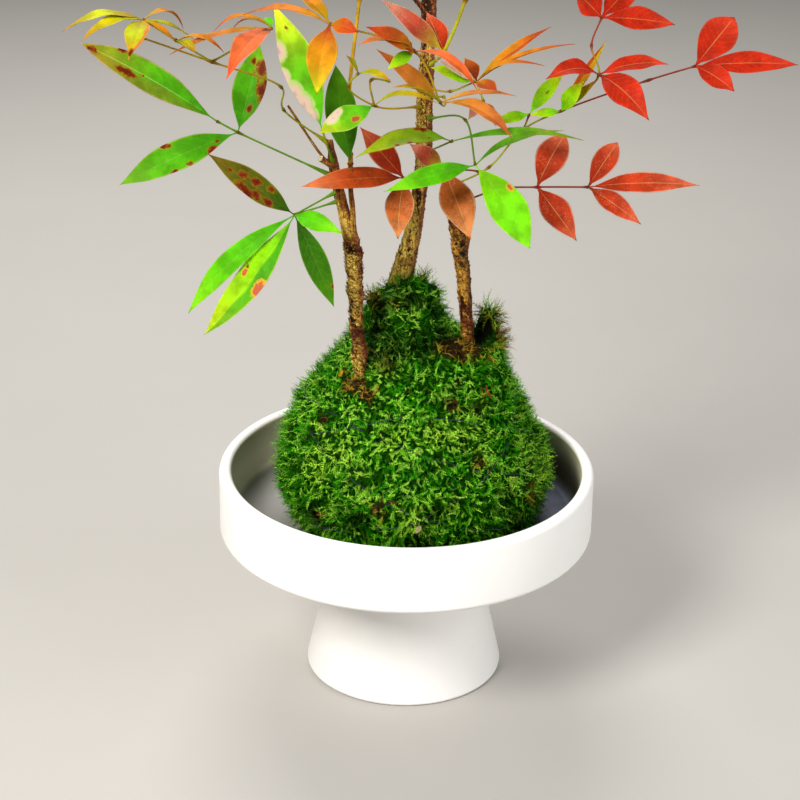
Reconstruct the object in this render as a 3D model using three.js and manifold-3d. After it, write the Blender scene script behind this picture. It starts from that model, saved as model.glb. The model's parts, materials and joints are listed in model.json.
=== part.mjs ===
// Moss ball plant: three canes of heavenly bamboo in a ball of soil wrapped in moss and bound with thread,
// standing in a footed ceramic dish.
// Millimetres, +Z up, +Y away from the viewer. The origin is the centre of the foot, on the table.

import * as THREE from "three";
import { mergeVertices } from "three/addons/utils/BufferGeometryUtils.js";
import Module from "manifold-3d";

const wasm = await Module();
wasm.setup();

// Driving dimensions
const gap = 0.3; // between pieces that touch
const dish = {
  rimRadius: 80,
  height: 95,
  wall: 5.5,
  bowlHeight: 29,
  outerFillet: 2.5,
  innerFillet: 4.5,
  neckRadius: 28,
  footRadius: 42.6,
  footEdge: 1.8,
  footWall: 5,
  sides: 44,
};
const ball = {
  centre: 3, // along x, at the widest place
  lean: -3, // shift of the top along x
  leanLevels: [96, 140],
  radius: 58.4,
  widestAbove: 24, // height of the widest place above the ball's flat base
  top: 172,
  baseRadius: 49.5,
  lowerCurve: 2.2, // powers of the outline below and above the widest place
  upperCurve: 1.8,
  cover: 8, // thickness of the moss
  relief: 1.1,
  columns: 40,
  lowerRows: [0, 6, 15, 24],
  upperRows: 13,
};
const soil = { rows: 8, sides: 20, peak: 2 };
// Mounds of moss round the feet of the canes: place, height and spread along x and y
const moundLevels = [100, 132];
const mounds = [
  { at: [-2, 12], height: 12, spread: [10.5, 11] },
  { at: [-17, 6], height: 6, spread: [5, 6] },
  { at: [8, 11], height: 5, spread: [4, 6] },
  { at: [35, 1], height: 23, spread: [6, 8] },
];
const hollow = { at: [31, -8, 159], radius: 5.2 }; // dark hollow beside the right cane
const thread = { radius: 0.45, lift: 1.3, sides: 3 };
// Loops of thread: middle height, rise and fall, and the bearing of the highest place
const threadLoops = [
  [112, 27, 35],
  [110, 25, 155],
  [108, 27, 275],
  [113, 19, 215],
];
const blade = { thickness: 0.9, fold: 0.22, root: 0.6 };
const stalk = { caneEnd: 1.3, radius: 0.8, sides: 4 }; // thicker where it grows from the cane
const spread = 158; // furthest reach of the leaves to the left and to the right
const floorLevel = dish.height - dish.bowlHeight + dish.wall;

// Materials
const finish = (color, roughness) => new THREE.MeshStandardMaterial({ color, roughness, metalness: 0 });
const ceramic = finish(0xf1efeb, 0.35);
const mossGreen = finish(0x3c7a14, 0.95);
const soilBrown = finish(0x3a2a1c, 1);
const threadBlue = finish(0x1f2a3c, 0.8);
const bark = finish(0x7a5a2e, 0.9);
const leafTones = {
  green: finish(0x55b41e, 0.45),
  pale: finish(0xb4cf52, 0.45),
  amber: finish(0xd98a26, 0.5),
  red: finish(0xb8321c, 0.5),
};

// Solids and joins
const vec = (p) => new THREE.Vector3(...p);
const radians = THREE.MathUtils.degToRad;

function solidOf(geometry) {
  const bare = geometry.index ? geometry.toNonIndexed() : geometry.clone();
  bare.deleteAttribute("normal");
  bare.deleteAttribute("uv");
  const merged = mergeVertices(bare, 1e-4);
  const vertProperties = merged.getAttribute("position").array;
  const triVerts = new Uint32Array(merged.index.array);
  return new wasm.Manifold(new wasm.Mesh({ numProp: 3, vertProperties, triVerts }));
}

function joined(solids) {
  return solids.reduce((whole, next) => whole.add(next));
}

function largest(solid) {
  return solid.decompose().reduce((a, b) => (b.volume() > a.volume() ? b : a));
}

function meshOf(name, solid, material) {
  const made = solid.getMesh();
  const geometry = new THREE.BufferGeometry();
  geometry.setAttribute("position", new THREE.BufferAttribute(made.vertProperties, 3));
  geometry.setIndex(new THREE.BufferAttribute(made.triVerts, 1));
  geometry.computeVertexNormals();
  const mesh = new THREE.Mesh(geometry, material);
  mesh.name = name;
  return mesh;
}

// A closed skin over rings of points that turn left about the way they run
function skin(rings, alikeFaces = false) {
  const count = rings[0].length;
  const triangles = [];
  for (let i = 0; i < rings.length - 1; i++) {
    for (let j = 0; j < count; j++) {
      const a = rings[i][j];
      const b = rings[i][(j + 1) % count];
      const c = rings[i + 1][(j + 1) % count];
      const d = rings[i + 1][j];
      if (alikeFaces && j >= count / 2) triangles.push(a, b, d, b, c, d);
      else triangles.push(a, b, c, a, c, d);
    }
  }
  const first = rings[0];
  const last = rings[rings.length - 1];
  for (let j = 1; j < count - 1; j++) {
    triangles.push(first[0], first[j + 1], first[j]);
    triangles.push(last[0], last[j], last[j + 1]);
  }
  const kept = [];
  for (let t = 0; t < triangles.length; t += 3) {
    const [p, q, r] = triangles.slice(t, t + 3);
    if (!p.equals(q) && !q.equals(r) && !r.equals(p)) kept.push(p, q, r);
  }
  return solidOf(new THREE.BufferGeometry().setFromPoints(kept));
}

// A rod of changing thickness along a smooth curve; the radii belong to the curve's own points,
// and both ends reach further by the given length
function rod(points, radii, sides, steps, longer = 0) {
  const curve = new THREE.CatmullRomCurve3(points.map(vec), false, "centripetal");
  const rings = [];
  let across = new THREE.Vector3(1, 0, 0);
  for (let i = 0; i <= steps; i++) {
    const t = i / steps;
    const along = curve.getTangent(t);
    const centre = curve.getPoint(t);
    if (i === 0) centre.addScaledVector(along, -longer);
    if (i === steps) centre.addScaledVector(along, longer);
    across.addScaledVector(along, -across.dot(along));
    if (across.lengthSq() < 1e-6) across.set(0, 1, 0).addScaledVector(along, -along.y);
    across.normalize();
    const up = new THREE.Vector3().crossVectors(along, across);
    const place = t * (radii.length - 1);
    const low = Math.min(Math.floor(place), radii.length - 2);
    const radius = THREE.MathUtils.lerp(radii[low], radii[low + 1], place - low);
    const ring = [];
    for (let j = 0; j < sides; j++) {
      const turn = (2 * Math.PI * j) / sides;
      const offset = across.clone().multiplyScalar(Math.cos(turn)).addScaledVector(up, Math.sin(turn));
      ring.push(centre.clone().addScaledVector(offset, radius));
    }
    rings.push(ring);
  }
  return skin(rings);
}

// Dish
function arc(r, z, radius, from, to, steps) {
  const points = [];
  for (let i = 0; i <= steps; i++) {
    const turn = radians(from + ((to - from) * i) / steps);
    points.push(new THREE.Vector2(r + radius * Math.cos(turn), z + radius * Math.sin(turn)));
  }
  return points;
}

function turned(profile, sides) {
  return solidOf(new THREE.LatheGeometry(profile, sides).rotateX(Math.PI / 2));
}

function makeDish() {
  const underside = dish.height - dish.bowlHeight;
  const innerRadius = dish.rimRadius - dish.wall;
  const lip = dish.wall / 2;
  const profile = [
    new THREE.Vector2(0, underside),
    new THREE.Vector2(dish.neckRadius - dish.footWall, underside),
    new THREE.Vector2(dish.footRadius - dish.footWall, 0),
    ...arc(dish.footRadius - dish.footEdge, dish.footEdge, dish.footEdge, -90, 0, 2),
    new THREE.Vector2(dish.neckRadius, underside),
    ...arc(dish.rimRadius - dish.outerFillet, underside + dish.outerFillet, dish.outerFillet, -90, 0, 2),
    ...arc(dish.rimRadius - lip, dish.height - lip, lip, 0, 180, 5),
    ...arc(innerRadius - dish.innerFillet, floorLevel + dish.innerFillet, dish.innerFillet, 0, -90, 3),
    new THREE.Vector2(0, floorLevel),
  ];
  return turned(profile, dish.sides);
}

// Moss ball
const baseLevel = floorLevel + gap;
const widestLevel = baseLevel + ball.widestAbove;

function ballRadius(z) {
  if (z < widestLevel) {
    const below = (widestLevel - z) / ball.widestAbove;
    return ball.radius - (ball.radius - ball.baseRadius) * below ** ball.lowerCurve;
  }
  return ball.radius * (1 - ((z - widestLevel) / (ball.top - widestLevel)) ** ball.upperCurve);
}

function moundLift(x, y, z) {
  const share = THREE.MathUtils.smoothstep(z, ...moundLevels);
  return mounds.reduce((sum, { at, height, spread: [wide, deep] }) => {
    const reach = ((x - at[0]) / wide) ** 2 + ((y - at[1]) / deep) ** 2;
    return sum + share * height * Math.exp(-reach / 2);
  }, 0);
}

function mossLumps(bearing, z) {
  const large = Math.sin(9 * bearing + z / 6) * Math.cos(z / 5 - 4 * bearing);
  return large + 0.5 * Math.sin(15 * bearing - z / 3);
}

function mossPoint(bearing, z) {
  const smooth = ballRadius(z);
  const share = (smooth / ball.radius) * THREE.MathUtils.smoothstep(z - baseLevel, 0, 6);
  const r = smooth + ball.relief * mossLumps(bearing, z) * share;
  const centre = ball.centre + ball.lean * THREE.MathUtils.smoothstep(z, ...ball.leanLevels);
  const x = centre + r * Math.cos(bearing);
  const y = r * Math.sin(bearing);
  return new THREE.Vector3(x, y, z + moundLift(x, y, z));
}

// Rows of the moss surface from the base to the top, closer together where it draws in
function mossRows() {
  const levels = ball.lowerRows.map((height) => baseLevel + height);
  for (let i = 1; i < ball.upperRows; i++) {
    const share = Math.sin((i / ball.upperRows) * (Math.PI / 2));
    levels.push(widestLevel + (ball.top - widestLevel) * share);
  }
  return levels.map((z) => {
    const row = [];
    for (let j = 0; j < ball.columns; j++) row.push(mossPoint((2 * Math.PI * j) / ball.columns, z));
    return row;
  });
}

function makeMossSkin(rows) {
  const crown = mossPoint(0, ball.top - 0.001);
  const low = new THREE.Vector3(ball.centre, 0, baseLevel);
  const point = (p) => new Array(ball.columns).fill(p);
  return skin([point(low), ...rows, point(crown)]);
}

function soilProfile(grown) {
  const profile = [new THREE.Vector2(0, baseLevel + ball.cover - grown)];
  const low = baseLevel + ball.cover;
  const high = ball.top - 1.6 * ball.cover;
  for (let i = 0; i <= soil.rows; i++) {
    const share = i / soil.rows;
    const z = low + (high - low) * Math.sin((share * Math.PI) / 2);
    profile.push(new THREE.Vector2(ballRadius(z) - ball.cover + grown, z + grown * (2 * share - 1)));
  }
  profile.push(new THREE.Vector2(0, high + soil.peak + grown));
  return profile;
}

function makeSoil(grown) {
  return turned(soilProfile(grown), soil.sides).translate([ball.centre, 0, 0]);
}

// Binding thread: loops that rise and fall round the ball, lying just off the moss
function threadPath(rows, [middle, rise, bearing]) {
  const side = rows.slice(1);
  const path = [];
  for (let j = 0; j < ball.columns; j++) {
    const turn = (2 * Math.PI * j) / ball.columns;
    const level = middle + rise * Math.cos(turn - radians(bearing));
    const above = side.findIndex((row) => row[j].z > level);
    const low = side[above - 1][j];
    const high = side[above][j];
    const place = low.clone().lerp(high, (level - low.z) / (high.z - low.z));
    const slope = high.clone().sub(low);
    const outward = new THREE.Vector3(slope.z * Math.cos(turn), slope.z * Math.sin(turn), 0);
    outward.z = -(slope.x * Math.cos(turn) + slope.y * Math.sin(turn));
    path.push(place.addScaledVector(outward.normalize(), thread.lift));
  }
  return path;
}

function makeThreadLoop(path) {
  const count = path.length;
  const rings = path.map((centre, i) => {
    const along = path[(i + 1) % count].clone().sub(path[(i + count - 1) % count]).normalize();
    const outward = new THREE.Vector3(centre.x - ball.centre, centre.y, 0).normalize();
    const up = new THREE.Vector3().crossVectors(along, outward).normalize();
    const ring = [];
    for (let j = 0; j < thread.sides; j++) {
      const turn = (2 * Math.PI * j) / thread.sides;
      const offset = outward.clone().multiplyScalar(Math.cos(turn)).addScaledVector(up, Math.sin(turn));
      ring.push(centre.clone().addScaledVector(offset, thread.radius));
    }
    return ring;
  });
  const triangles = [];
  for (let i = 0; i < count; i++) {
    const here = rings[i];
    const next = rings[(i + 1) % count];
    for (let j = 0; j < thread.sides; j++) {
      const k = (j + 1) % thread.sides;
      triangles.push(here[j], here[k], next[k], here[j], next[k], next[j]);
    }
  }
  return solidOf(new THREE.BufferGeometry().setFromPoints(triangles));
}

function makeThread() {
  return joined(threadLoops.map((loop) => makeThreadLoop(threadPath(rows, loop))));
}

// Canes: each run of wood from its foot to its tip, as points with a radius
const caneSides = 9;
const canes = {
  left_cane: [
    {
      steps: 18,
      path: [
        [-16, -26, 108, 3.2],
        [-19, -23, 140, 2.7],
        [-21, -20, 165, 2.5],
        [-22, -18, 181, 2.8],
        [-23, -16, 198, 3.4],
        [-28, -14, 218, 2.3],
        [-33, -12, 242, 1.9],
      ],
    },
    {
      steps: 5,
      path: [
        [-23, -16, 198, 1.9],
        [-23, -17, 212, 1.3],
        [-24, -19, 226, 1.1],
        [-24, -20, 240, 1],
      ],
    },
    {
      steps: 4,
      path: [
        [-31, -13, 231, 0.9],
        [-36, -14, 237, 0.7],
        [-49, -14, 257, 0.6],
      ],
    },
    {
      steps: 1,
      path: [
        [-31, -14, 232, 1.2],
        [-36, -16, 236, 1.3],
      ],
    },
  ],
  centre_cane: [
    {
      steps: 24,
      path: [
        [-10, 16, 112, 5.4],
        [-6, 15, 150, 5.4],
        [-4, 14, 171, 5],
        [0, 13, 190, 3.9],
        [3, 12, 209, 3],
        [5, 11, 231, 3.3],
        [5, 10, 253, 3.3],
        [6, 9, 275, 2.8],
        [6, 8, 296, 3],
        [7, 7, 320, 2.4],
        [8, 6, 340, 1.6],
      ],
    },
    {
      steps: 2,
      path: [
        [6, 8, 285, 1.2],
        [4, 6, 290, 1],
        [-1, 4, 297, 0.9],
      ],
    },
  ],
  right_cane: [
    {
      steps: 16,
      path: [
        [26, -4, 110, 2.9],
        [25, -4, 140, 2.8],
        [24, -4, 160, 2.5],
        [22, -4, 182, 2.5],
        [20, -5, 196, 3.3],
        [17, -7, 211, 2.1],
        [14, -9, 227, 1.3],
      ],
    },
    {
      steps: 3,
      path: [
        [21, -5, 190, 1.6],
        [23, -5, 200, 1.3],
        [22, -5, 207, 0.8],
      ],
    },
  ],
};

function makeCane(runs, grown) {
  return joined(
    runs.map(({ path, steps }) => {
      const points = path.map(([x, y, z]) => [x, y, z]);
      const radii = path.map(([, , , radius]) => radius + grown);
      return rod(points, radii, caneSides, steps, grown);
    }),
  );
}

// Leaflet: a lance-shaped blade with a folded midrib, arched between its root and its tip
const bladeStations = [
  [0, 0],
  [0.18, 0.66],
  [0.42, 1],
  [0.74, 0.62],
  [1, 0],
];

function makeLeaflet(root, tip, width, arch, face) {
  const run = tip.clone().sub(root);
  const length = run.length();
  const lift = face.clone().addScaledVector(run, -face.dot(run) / length ** 2).normalize();
  const across = new THREE.Vector3().crossVectors(lift, run).normalize();
  const rings = bladeStations.map(([t, share]) => {
    const rise = 4 * arch * length * t * (1 - t);
    const middle = root.clone().addScaledVector(run, t).addScaledVector(lift, rise);
    const half = t === 0 ? blade.root / 2 : (share * width) / 2;
    const thick = t === 0 ? blade.root / 2 : t === 1 ? 0 : blade.thickness / 2;
    const edge = middle.clone().addScaledVector(lift, half * blade.fold);
    return [
      edge.clone().addScaledVector(across, half),
      middle.clone().addScaledVector(lift, thick),
      edge.clone().addScaledVector(across, -half),
      middle.clone().addScaledVector(lift, -thick),
    ];
  });
  return skin(rings, true);
}

// Frond: stalks through named nodes, and leaflets that grow from the nodes, all one body
function makeFrond({ nodes, stalks, leaflets, face }) {
  const place = Object.fromEntries(Object.entries(nodes).map(([name, p]) => [name, vec(p)]));
  const solids = stalks.map((names) => {
    const points = [];
    const radii = [];
    for (const name of names) {
      points.push(nodes[name]);
      radii.push(name.startsWith("cane") ? stalk.caneEnd : stalk.radius);
    }
    return rod(points, radii, stalk.sides, points.length - 1);
  });
  for (const [node, tip, width, arch = 0.06, ownFace = face] of leaflets) {
    const end = vec(tip);
    solids.push(makeLeaflet(place[node], end, width, arch, vec(ownFace)));
  }
  return joined(solids);
}

// Ways that the leaflets' upper sides face
const toViewer = [0, -0.8, 0.6];
const halfUp = [0, -0.45, 0.9];
const upward = [0, -0.1, 1];

// Fronds low on the canes: nodes of the stalks, and leaflets as root node, tip, width, arch, face
const fronds = [
  {
    name: "frond_left_upper",
    tone: "green",
    face: toViewer,
    nodes: { cane: [-29, -14, 227], fork: [-68, -22, 248], end: [-76, -24, 253] },
    stalks: [["cane", "fork", "end"]],
    leaflets: [
      ["end", [-126, -34, 286], 14, 0.04],
      ["fork", [-113, -38, 231], 13, 0.09],
      ["fork", [-60, -6, 279], 14, 0],
    ],
  },
  {
    name: "frond_left_lower",
    tone: "green",
    face: toViewer,
    nodes: { cane: [-29, -14, 222], caneBelow: [-28, -14, 218], fork: [-46, -24, 215] },
    stalks: [
      ["cane", "fork"],
      ["caneBelow", "fork"],
    ],
    leaflets: [
      ["fork", [-79, -34, 243], 12, 0.04],
      ["fork", [-88, -36, 177], 11, 0.08],
      ["fork", [-83, -24, 163], 11, 0.06],
      ["fork", [-30, -34, 180], 12, 0.03],
      ["fork", [-26, -40, 213], 8, 0.1],
    ],
  },
  {
    name: "frond_left_pale",
    tone: "pale",
    face: toViewer,
    nodes: { cane: [-31, -13, 233], end: [-35, -24, 250] },
    stalks: [["cane", "end"]],
    leaflets: [["end", [-53, -34, 302], 15, 0.05]],
  },
  {
    name: "frond_left_front",
    tone: "amber",
    face: upward,
    nodes: {
      cane: [-33, -12, 241],
      bend: [-50, -24, 258],
      low: [-50, -38, 271],
      fork: [-74, -62, 287],
      mid: [-86, -70, 297],
      end: [-97, -76, 306],
      back: [-99, -70, 298],
      high: [-52, -58, 299],
    },
    stalks: [
      ["cane", "bend", "low", "fork", "back"],
      ["fork", "mid", "end"],
      ["fork", "high"],
    ],
    leaflets: [
      ["end", [-125, -84, 303], 8, 0.14],
      ["end", [-117, -92, 302], 8, 0.12],
      ["end", [-100, -99, 297], 12, 0.08],
      ["end", [-84, -62, 299], 5, 0.25],
      ["mid", [-78, -80, 295], 6, 0.1],
      ["mid", [-68, -76, 294], 5, 0.2],
      ["high", [-88, -80, 294], 7, 0.06],
      ["high", [-74, -60, 297], 5, 0.26],
      ["high", [-68, -50, 295], 5, 0.24],
      ["high", [-66, -96, 290], 12, 0.1],
    ],
  },
  {
    name: "frond_left_high",
    tone: "amber",
    face: halfUp,
    nodes: {
      cane: [-24, -20, 239],
      first: [-25, -20, 243],
      up: [-25, -14, 260],
      mid: [-21, -12, 300],
      fork: [-20, -12, 314],
      end: [-24, -14, 332],
    },
    stalks: [["cane", "first", "up", "mid", "fork", "end"]],
    leaflets: [
      ["first", [-30, -20, 275], 13, 0, toViewer],
      ["fork", [-56, -38, 322], 11, 0.08],
      ["fork", [-46, 18, 326], 10, 0.1],
      ["end", [-66, -24, 344], 12, 0.1],
      ["end", [-20, -50, 350], 10, 0.08],
      ["end", [-34, -18, 362], 12, 0.05],
    ],
  },
  {
    name: "frond_middle_twig",
    tone: "pale",
    face: halfUp,
    nodes: { cane: [5, 10, 250], fork: [-15, -20, 259], side: [-25, -25, 268], end: [-21, -24, 273] },
    stalks: [["cane", "fork", "side", "end"]],
    leaflets: [
      ["fork", [-36, -36, 254], 11, 0.06, toViewer],
      ["fork", [10, -30, 263], 4, 0.2],
      ["end", [-8, -30, 271], 4, 0.15],
      ["end", [-26, -27, 281], 4, 0.05],
    ],
  },
  {
    name: "frond_middle_red",
    tone: "red",
    face: toViewer,
    nodes: { cane: [4, 12, 219], end: [-3, 0, 223] },
    stalks: [["cane", "end"]],
    leaflets: [
      ["end", [-43, -34, 230], 11, 0.08],
      ["end", [-21, 4, 243], 11, 0.03],
      ["end", [-5, -12, 201], 12, 0.03],
    ],
  },
  {
    name: "frond_right_tip",
    tone: "red",
    face: toViewer,
    nodes: { cane: [14, -9, 226], end: [13, -10, 230] },
    stalks: [["cane", "end"]],
    leaflets: [
      ["end", [-1, -8, 240], 8, 0.04],
      ["end", [24, -25, 206], 14, 0.06],
    ],
  },
  {
    name: "frond_middle_green",
    tone: "green",
    face: halfUp,
    nodes: { cane: [5, 11, 230], end: [16, -10, 242] },
    stalks: [["cane", "end"]],
    leaflets: [
      ["end", [-22, -37, 243], 11, 0.12],
      ["end", [69, -4, 241], 6, 0.08],
    ],
  },
  {
    name: "frond_right_green",
    tone: "green",
    face: toViewer,
    nodes: { cane: [5, 10, 245], bend: [21, -11, 251], end: [25, -22, 236] },
    stalks: [["cane", "bend", "end"]],
    leaflets: [
      ["end", [-11, -36, 229], 9, 0.08],
      ["end", [47, -34, 206], 17, 0.05],
      ["end", [59, -30, 253], 6, 0.14, halfUp],
    ],
  },
  {
    name: "frond_front",
    tone: "amber",
    face: upward,
    nodes: {
      cane: [5, 10, 254],
      bend: [12, -24, 264],
      fork: [10, -62, 273],
      mid: [0, -72, 295],
      end: [-30, -82, 307],
    },
    stalks: [["cane", "bend", "fork", "mid", "end"]],
    leaflets: [
      ["fork", [36, -87, 267], 10, 0.12],
      ["fork", [38, -70, 278], 6, 0.08],
      ["fork", [-8, -78, 283], 6, 0.08],
      ["fork", [-14, -64, 293], 8, 0.06],
      ["mid", [23, -89, 285], 6, 0.16],
      ["mid", [-20, -92, 302], 8, 0.1],
      ["end", [-34, -100, 286], 14, 0.06, toViewer],
      ["end", [-62, -76, 308], 8, 0.12],
      ["end", [-44, -66, 314], 7, 0.1],
    ],
  },
  {
    name: "frond_right_orange",
    tone: "amber",
    face: halfUp,
    nodes: { cane: [6, 9, 258], bend: [15, -2, 260], end: [25, -8, 266] },
    stalks: [["cane", "bend", "end"]],
    leaflets: [
      ["end", [20, -10, 276], 8, 0.03, toViewer],
      ["end", [54, -3, 287], 8, 0.07],
      ["end", [63, -14, 283], 4, 0.12],
      ["end", [51, -25, 277], 4, 0.16],
      ["end", [33, -21, 265], 7, 0.05],
    ],
  },
  {
    name: "frond_right_upper",
    tone: "red",
    face: toViewer,
    nodes: {
      cane: [15, -8, 222],
      low: [31, -6, 230],
      mid: [45, 4, 243],
      spur: [47, 5, 249],
      fork: [60, 10, 249],
      far: [96, 22, 259],
      end: [115, 26, 264],
      near: [74, 4, 266],
      rise: [71, 10, 276],
      high: [75, 16, 286],
    },
    stalks: [
      ["cane", "low", "mid", "fork", "far", "end"],
      ["mid", "spur"],
      ["fork", "near", "rise", "high"],
    ],
    leaflets: [
      ["spur", [61, 14, 264], 8, 0.03],
      ["spur", [33, -4, 248], 7, 0.08, halfUp],
      ["fork", [75, 0, 262], 9, 0.05, halfUp],
      ["near", [52, -8, 267], 10, 0.16, halfUp],
      ["near", [102, 6, 270], 10, 0.1, halfUp],
      ["near", [93, -15, 253], 15, 0.12],
      ["high", [65, 19, 295], 12, 0.04],
      ["high", [105, 18, 283], 12, 0.08],
      ["high", [91, 32, 297], 11, 0.06],
      ["end", [132, 36, 282], 16, 0.04],
      ["end", [spread, 30, 264], 12, 0.1],
      ["end", [130, 14, 257], 11, 0.06],
    ],
  },
  {
    name: "frond_right_lower",
    tone: "red",
    face: toViewer,
    nodes: { cane: [17, -7, 214], low: [36, -3, 220], fork: [51, 0, 220], end: [72, 4, 219] },
    stalks: [["cane", "low", "fork", "end"]],
    leaflets: [
      ["fork", [62, 8, 240], 13, 0.03],
      ["fork", [67, -14, 202], 12, 0.04],
      ["end", [84, 14, 235], 10, 0.03],
      ["end", [118, 8, 219], 9, 0.06],
      ["end", [93, -10, 208], 10, 0.04],
    ],
  },
  {
    name: "frond_right_high",
    tone: "red",
    face: halfUp,
    nodes: {
      cane: [6, 9, 267],
      first: [12, -2, 276],
      mid: [20, -2, 297],
      fork: [24, -4, 315],
      end: [30, -5, 334],
    },
    stalks: [["cane", "first", "mid", "fork", "end"]],
    leaflets: [
      ["first", [-13, -11, 299], 8, 0.06, toViewer],
      ["first", [5, -3, 288], 9, 0.03, toViewer],
      ["fork", [60, -24, 322], 11, 0.1],
      ["fork", [16, -44, 326], 10, 0.08],
      ["end", [74, -14, 346], 12, 0.1],
      ["end", [54, 24, 350], 11, 0.08],
      ["end", [32, -12, 364], 11, 0.04],
    ],
  },
];

// Crown fronds, above and behind: height on the centre cane, bearing, reach and rise
const crown = [
  { tone: "green", height: 292, bearing: 92, reach: 92, rise: 14 },
  { tone: "red", height: 301, bearing: 32, reach: 110, rise: 20 },
  { tone: "amber", height: 306, bearing: 170, reach: 166, rise: 24 },
  { tone: "green", height: 330, bearing: 226, reach: 96, rise: 44 },
  { tone: "red", height: 335, bearing: 290, reach: 98, rise: 44 },
  { tone: "pale", height: 331, bearing: 116, reach: 88, rise: 36 },
];

// A crown frond by rule: side stalks with three leaflets each, a pair further out and three at the end
function crownFrond({ tone, height, bearing, reach, rise }, number) {
  const root = [7, 7, height];
  const at = (out, turn, up) => {
    const way = radians(bearing + turn);
    return [root[0] + out * Math.cos(way), root[1] + out * Math.sin(way), height + up];
  };
  const leafWidth = 11;
  return {
    name: `frond_crown_${number + 1}`,
    tone,
    face: [0, 0, 1],
    nodes: {
      cane: root,
      fork: at(0.42 * reach, 0, 0.8 * rise),
      left: at(0.52 * reach, 19, 0.9 * rise),
      right: at(0.52 * reach, -19, 0.9 * rise),
      mid: at(0.6 * reach, 0, rise),
      end: at(0.74 * reach, 0, rise),
    },
    stalks: [
      ["cane", "fork", "mid", "end"],
      ["fork", "left"],
      ["fork", "right"],
    ],
    leaflets: [
      ["left", at(0.86 * reach, 31, 0.6 * rise), leafWidth, 0.1],
      ["left", at(0.56 * reach, 52, 0.8 * rise), leafWidth - 2, 0.12],
      ["right", at(0.86 * reach, -31, 0.6 * rise), leafWidth, 0.1],
      ["right", at(0.56 * reach, -52, 0.8 * rise), leafWidth - 2, 0.12],
      ["mid", at(0.94 * reach, 15, 0.8 * rise), leafWidth - 1, 0.1],
      ["mid", at(0.94 * reach, -15, 0.8 * rise), leafWidth - 1, 0.1],
      ["end", at(reach, 5, 0.7 * rise), leafWidth + 1, 0.1],
    ],
  };
}

// The whole plant
const rows = mossRows();
const grownCanes = Object.values(canes).map((runs) => makeCane(runs, gap));
const cutByCanes = (solid) => grownCanes.reduce((left, cane) => left.subtract(cane), solid);

function makeMoss() {
  const pit = solidOf(new THREE.IcosahedronGeometry(hollow.radius, 1).translate(...hollow.at));
  return largest(cutByCanes(makeMossSkin(rows).subtract(makeSoil(gap)).subtract(pit)));
}

const plant = new THREE.Group();
plant.add(meshOf("dish", makeDish(), ceramic));
plant.add(meshOf("soil_ball", cutByCanes(makeSoil(0)), soilBrown));
plant.add(meshOf("moss_cover", makeMoss(), mossGreen));
plant.add(meshOf("binding_thread", makeThread(), threadBlue));
for (const [name, runs] of Object.entries(canes)) {
  plant.add(meshOf(name, makeCane(runs, 0), bark));
}
for (const frond of [...fronds, ...crown.map(crownFrond)]) {
  plant.add(meshOf(frond.name, largest(cutByCanes(makeFrond(frond))), leafTones[frond.tone]));
}

export default plant;
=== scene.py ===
# Moss ball plant: three canes of heavenly bamboo in a ball of moss bound with thread, in a footed white dish.
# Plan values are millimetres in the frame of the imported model; meshes are made in metres.
import bmesh
import bpy
import json
import math
import numpy as np
from mathutils import Euler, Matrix, Quaternion, Vector, noise

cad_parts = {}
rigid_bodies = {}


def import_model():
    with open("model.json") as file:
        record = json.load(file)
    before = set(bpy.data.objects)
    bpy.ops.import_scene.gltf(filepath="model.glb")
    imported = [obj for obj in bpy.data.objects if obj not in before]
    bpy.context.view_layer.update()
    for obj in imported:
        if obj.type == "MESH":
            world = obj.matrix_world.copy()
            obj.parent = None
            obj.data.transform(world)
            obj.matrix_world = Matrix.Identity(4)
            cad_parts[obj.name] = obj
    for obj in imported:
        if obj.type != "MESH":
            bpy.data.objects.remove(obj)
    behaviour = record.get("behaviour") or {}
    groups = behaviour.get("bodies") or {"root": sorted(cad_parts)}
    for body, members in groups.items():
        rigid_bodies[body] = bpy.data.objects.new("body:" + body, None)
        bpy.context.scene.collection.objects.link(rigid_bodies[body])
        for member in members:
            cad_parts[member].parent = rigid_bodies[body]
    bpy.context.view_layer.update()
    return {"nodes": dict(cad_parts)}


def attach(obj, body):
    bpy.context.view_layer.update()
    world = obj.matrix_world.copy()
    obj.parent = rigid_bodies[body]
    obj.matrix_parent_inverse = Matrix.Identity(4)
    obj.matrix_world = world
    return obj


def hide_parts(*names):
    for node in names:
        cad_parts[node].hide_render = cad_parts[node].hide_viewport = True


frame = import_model()
mm = 0.001
tau = 2 * math.pi


# Colours are written as a painter's hex code and turned into linear values
def hexColour(code):
    parts = [int(code[i:i + 2], 16) / 255 for i in (0, 2, 4)]
    return np.array([p / 12.92 if p <= 0.04045 else ((p + 0.055) / 1.055) ** 2.4 for p in parts])


def rgba(code):
    return (*hexColour(code), 1.0)


def smoothstep(x, low, high):
    s = np.clip((np.asarray(x, float) - low) / (high - low), 0, 1)
    return s * s * (3 - 2 * s)


def unit(v):
    return v / np.linalg.norm(v)


# Mesh helpers
attributeKinds = {1: ("FLOAT", "value"), 3: ("FLOAT_VECTOR", "vector"), 4: ("FLOAT_COLOR", "color")}


def addObject(name, data):
    made = bpy.data.objects.new(name, data)
    bpy.context.scene.collection.objects.link(made)
    return made


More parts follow.
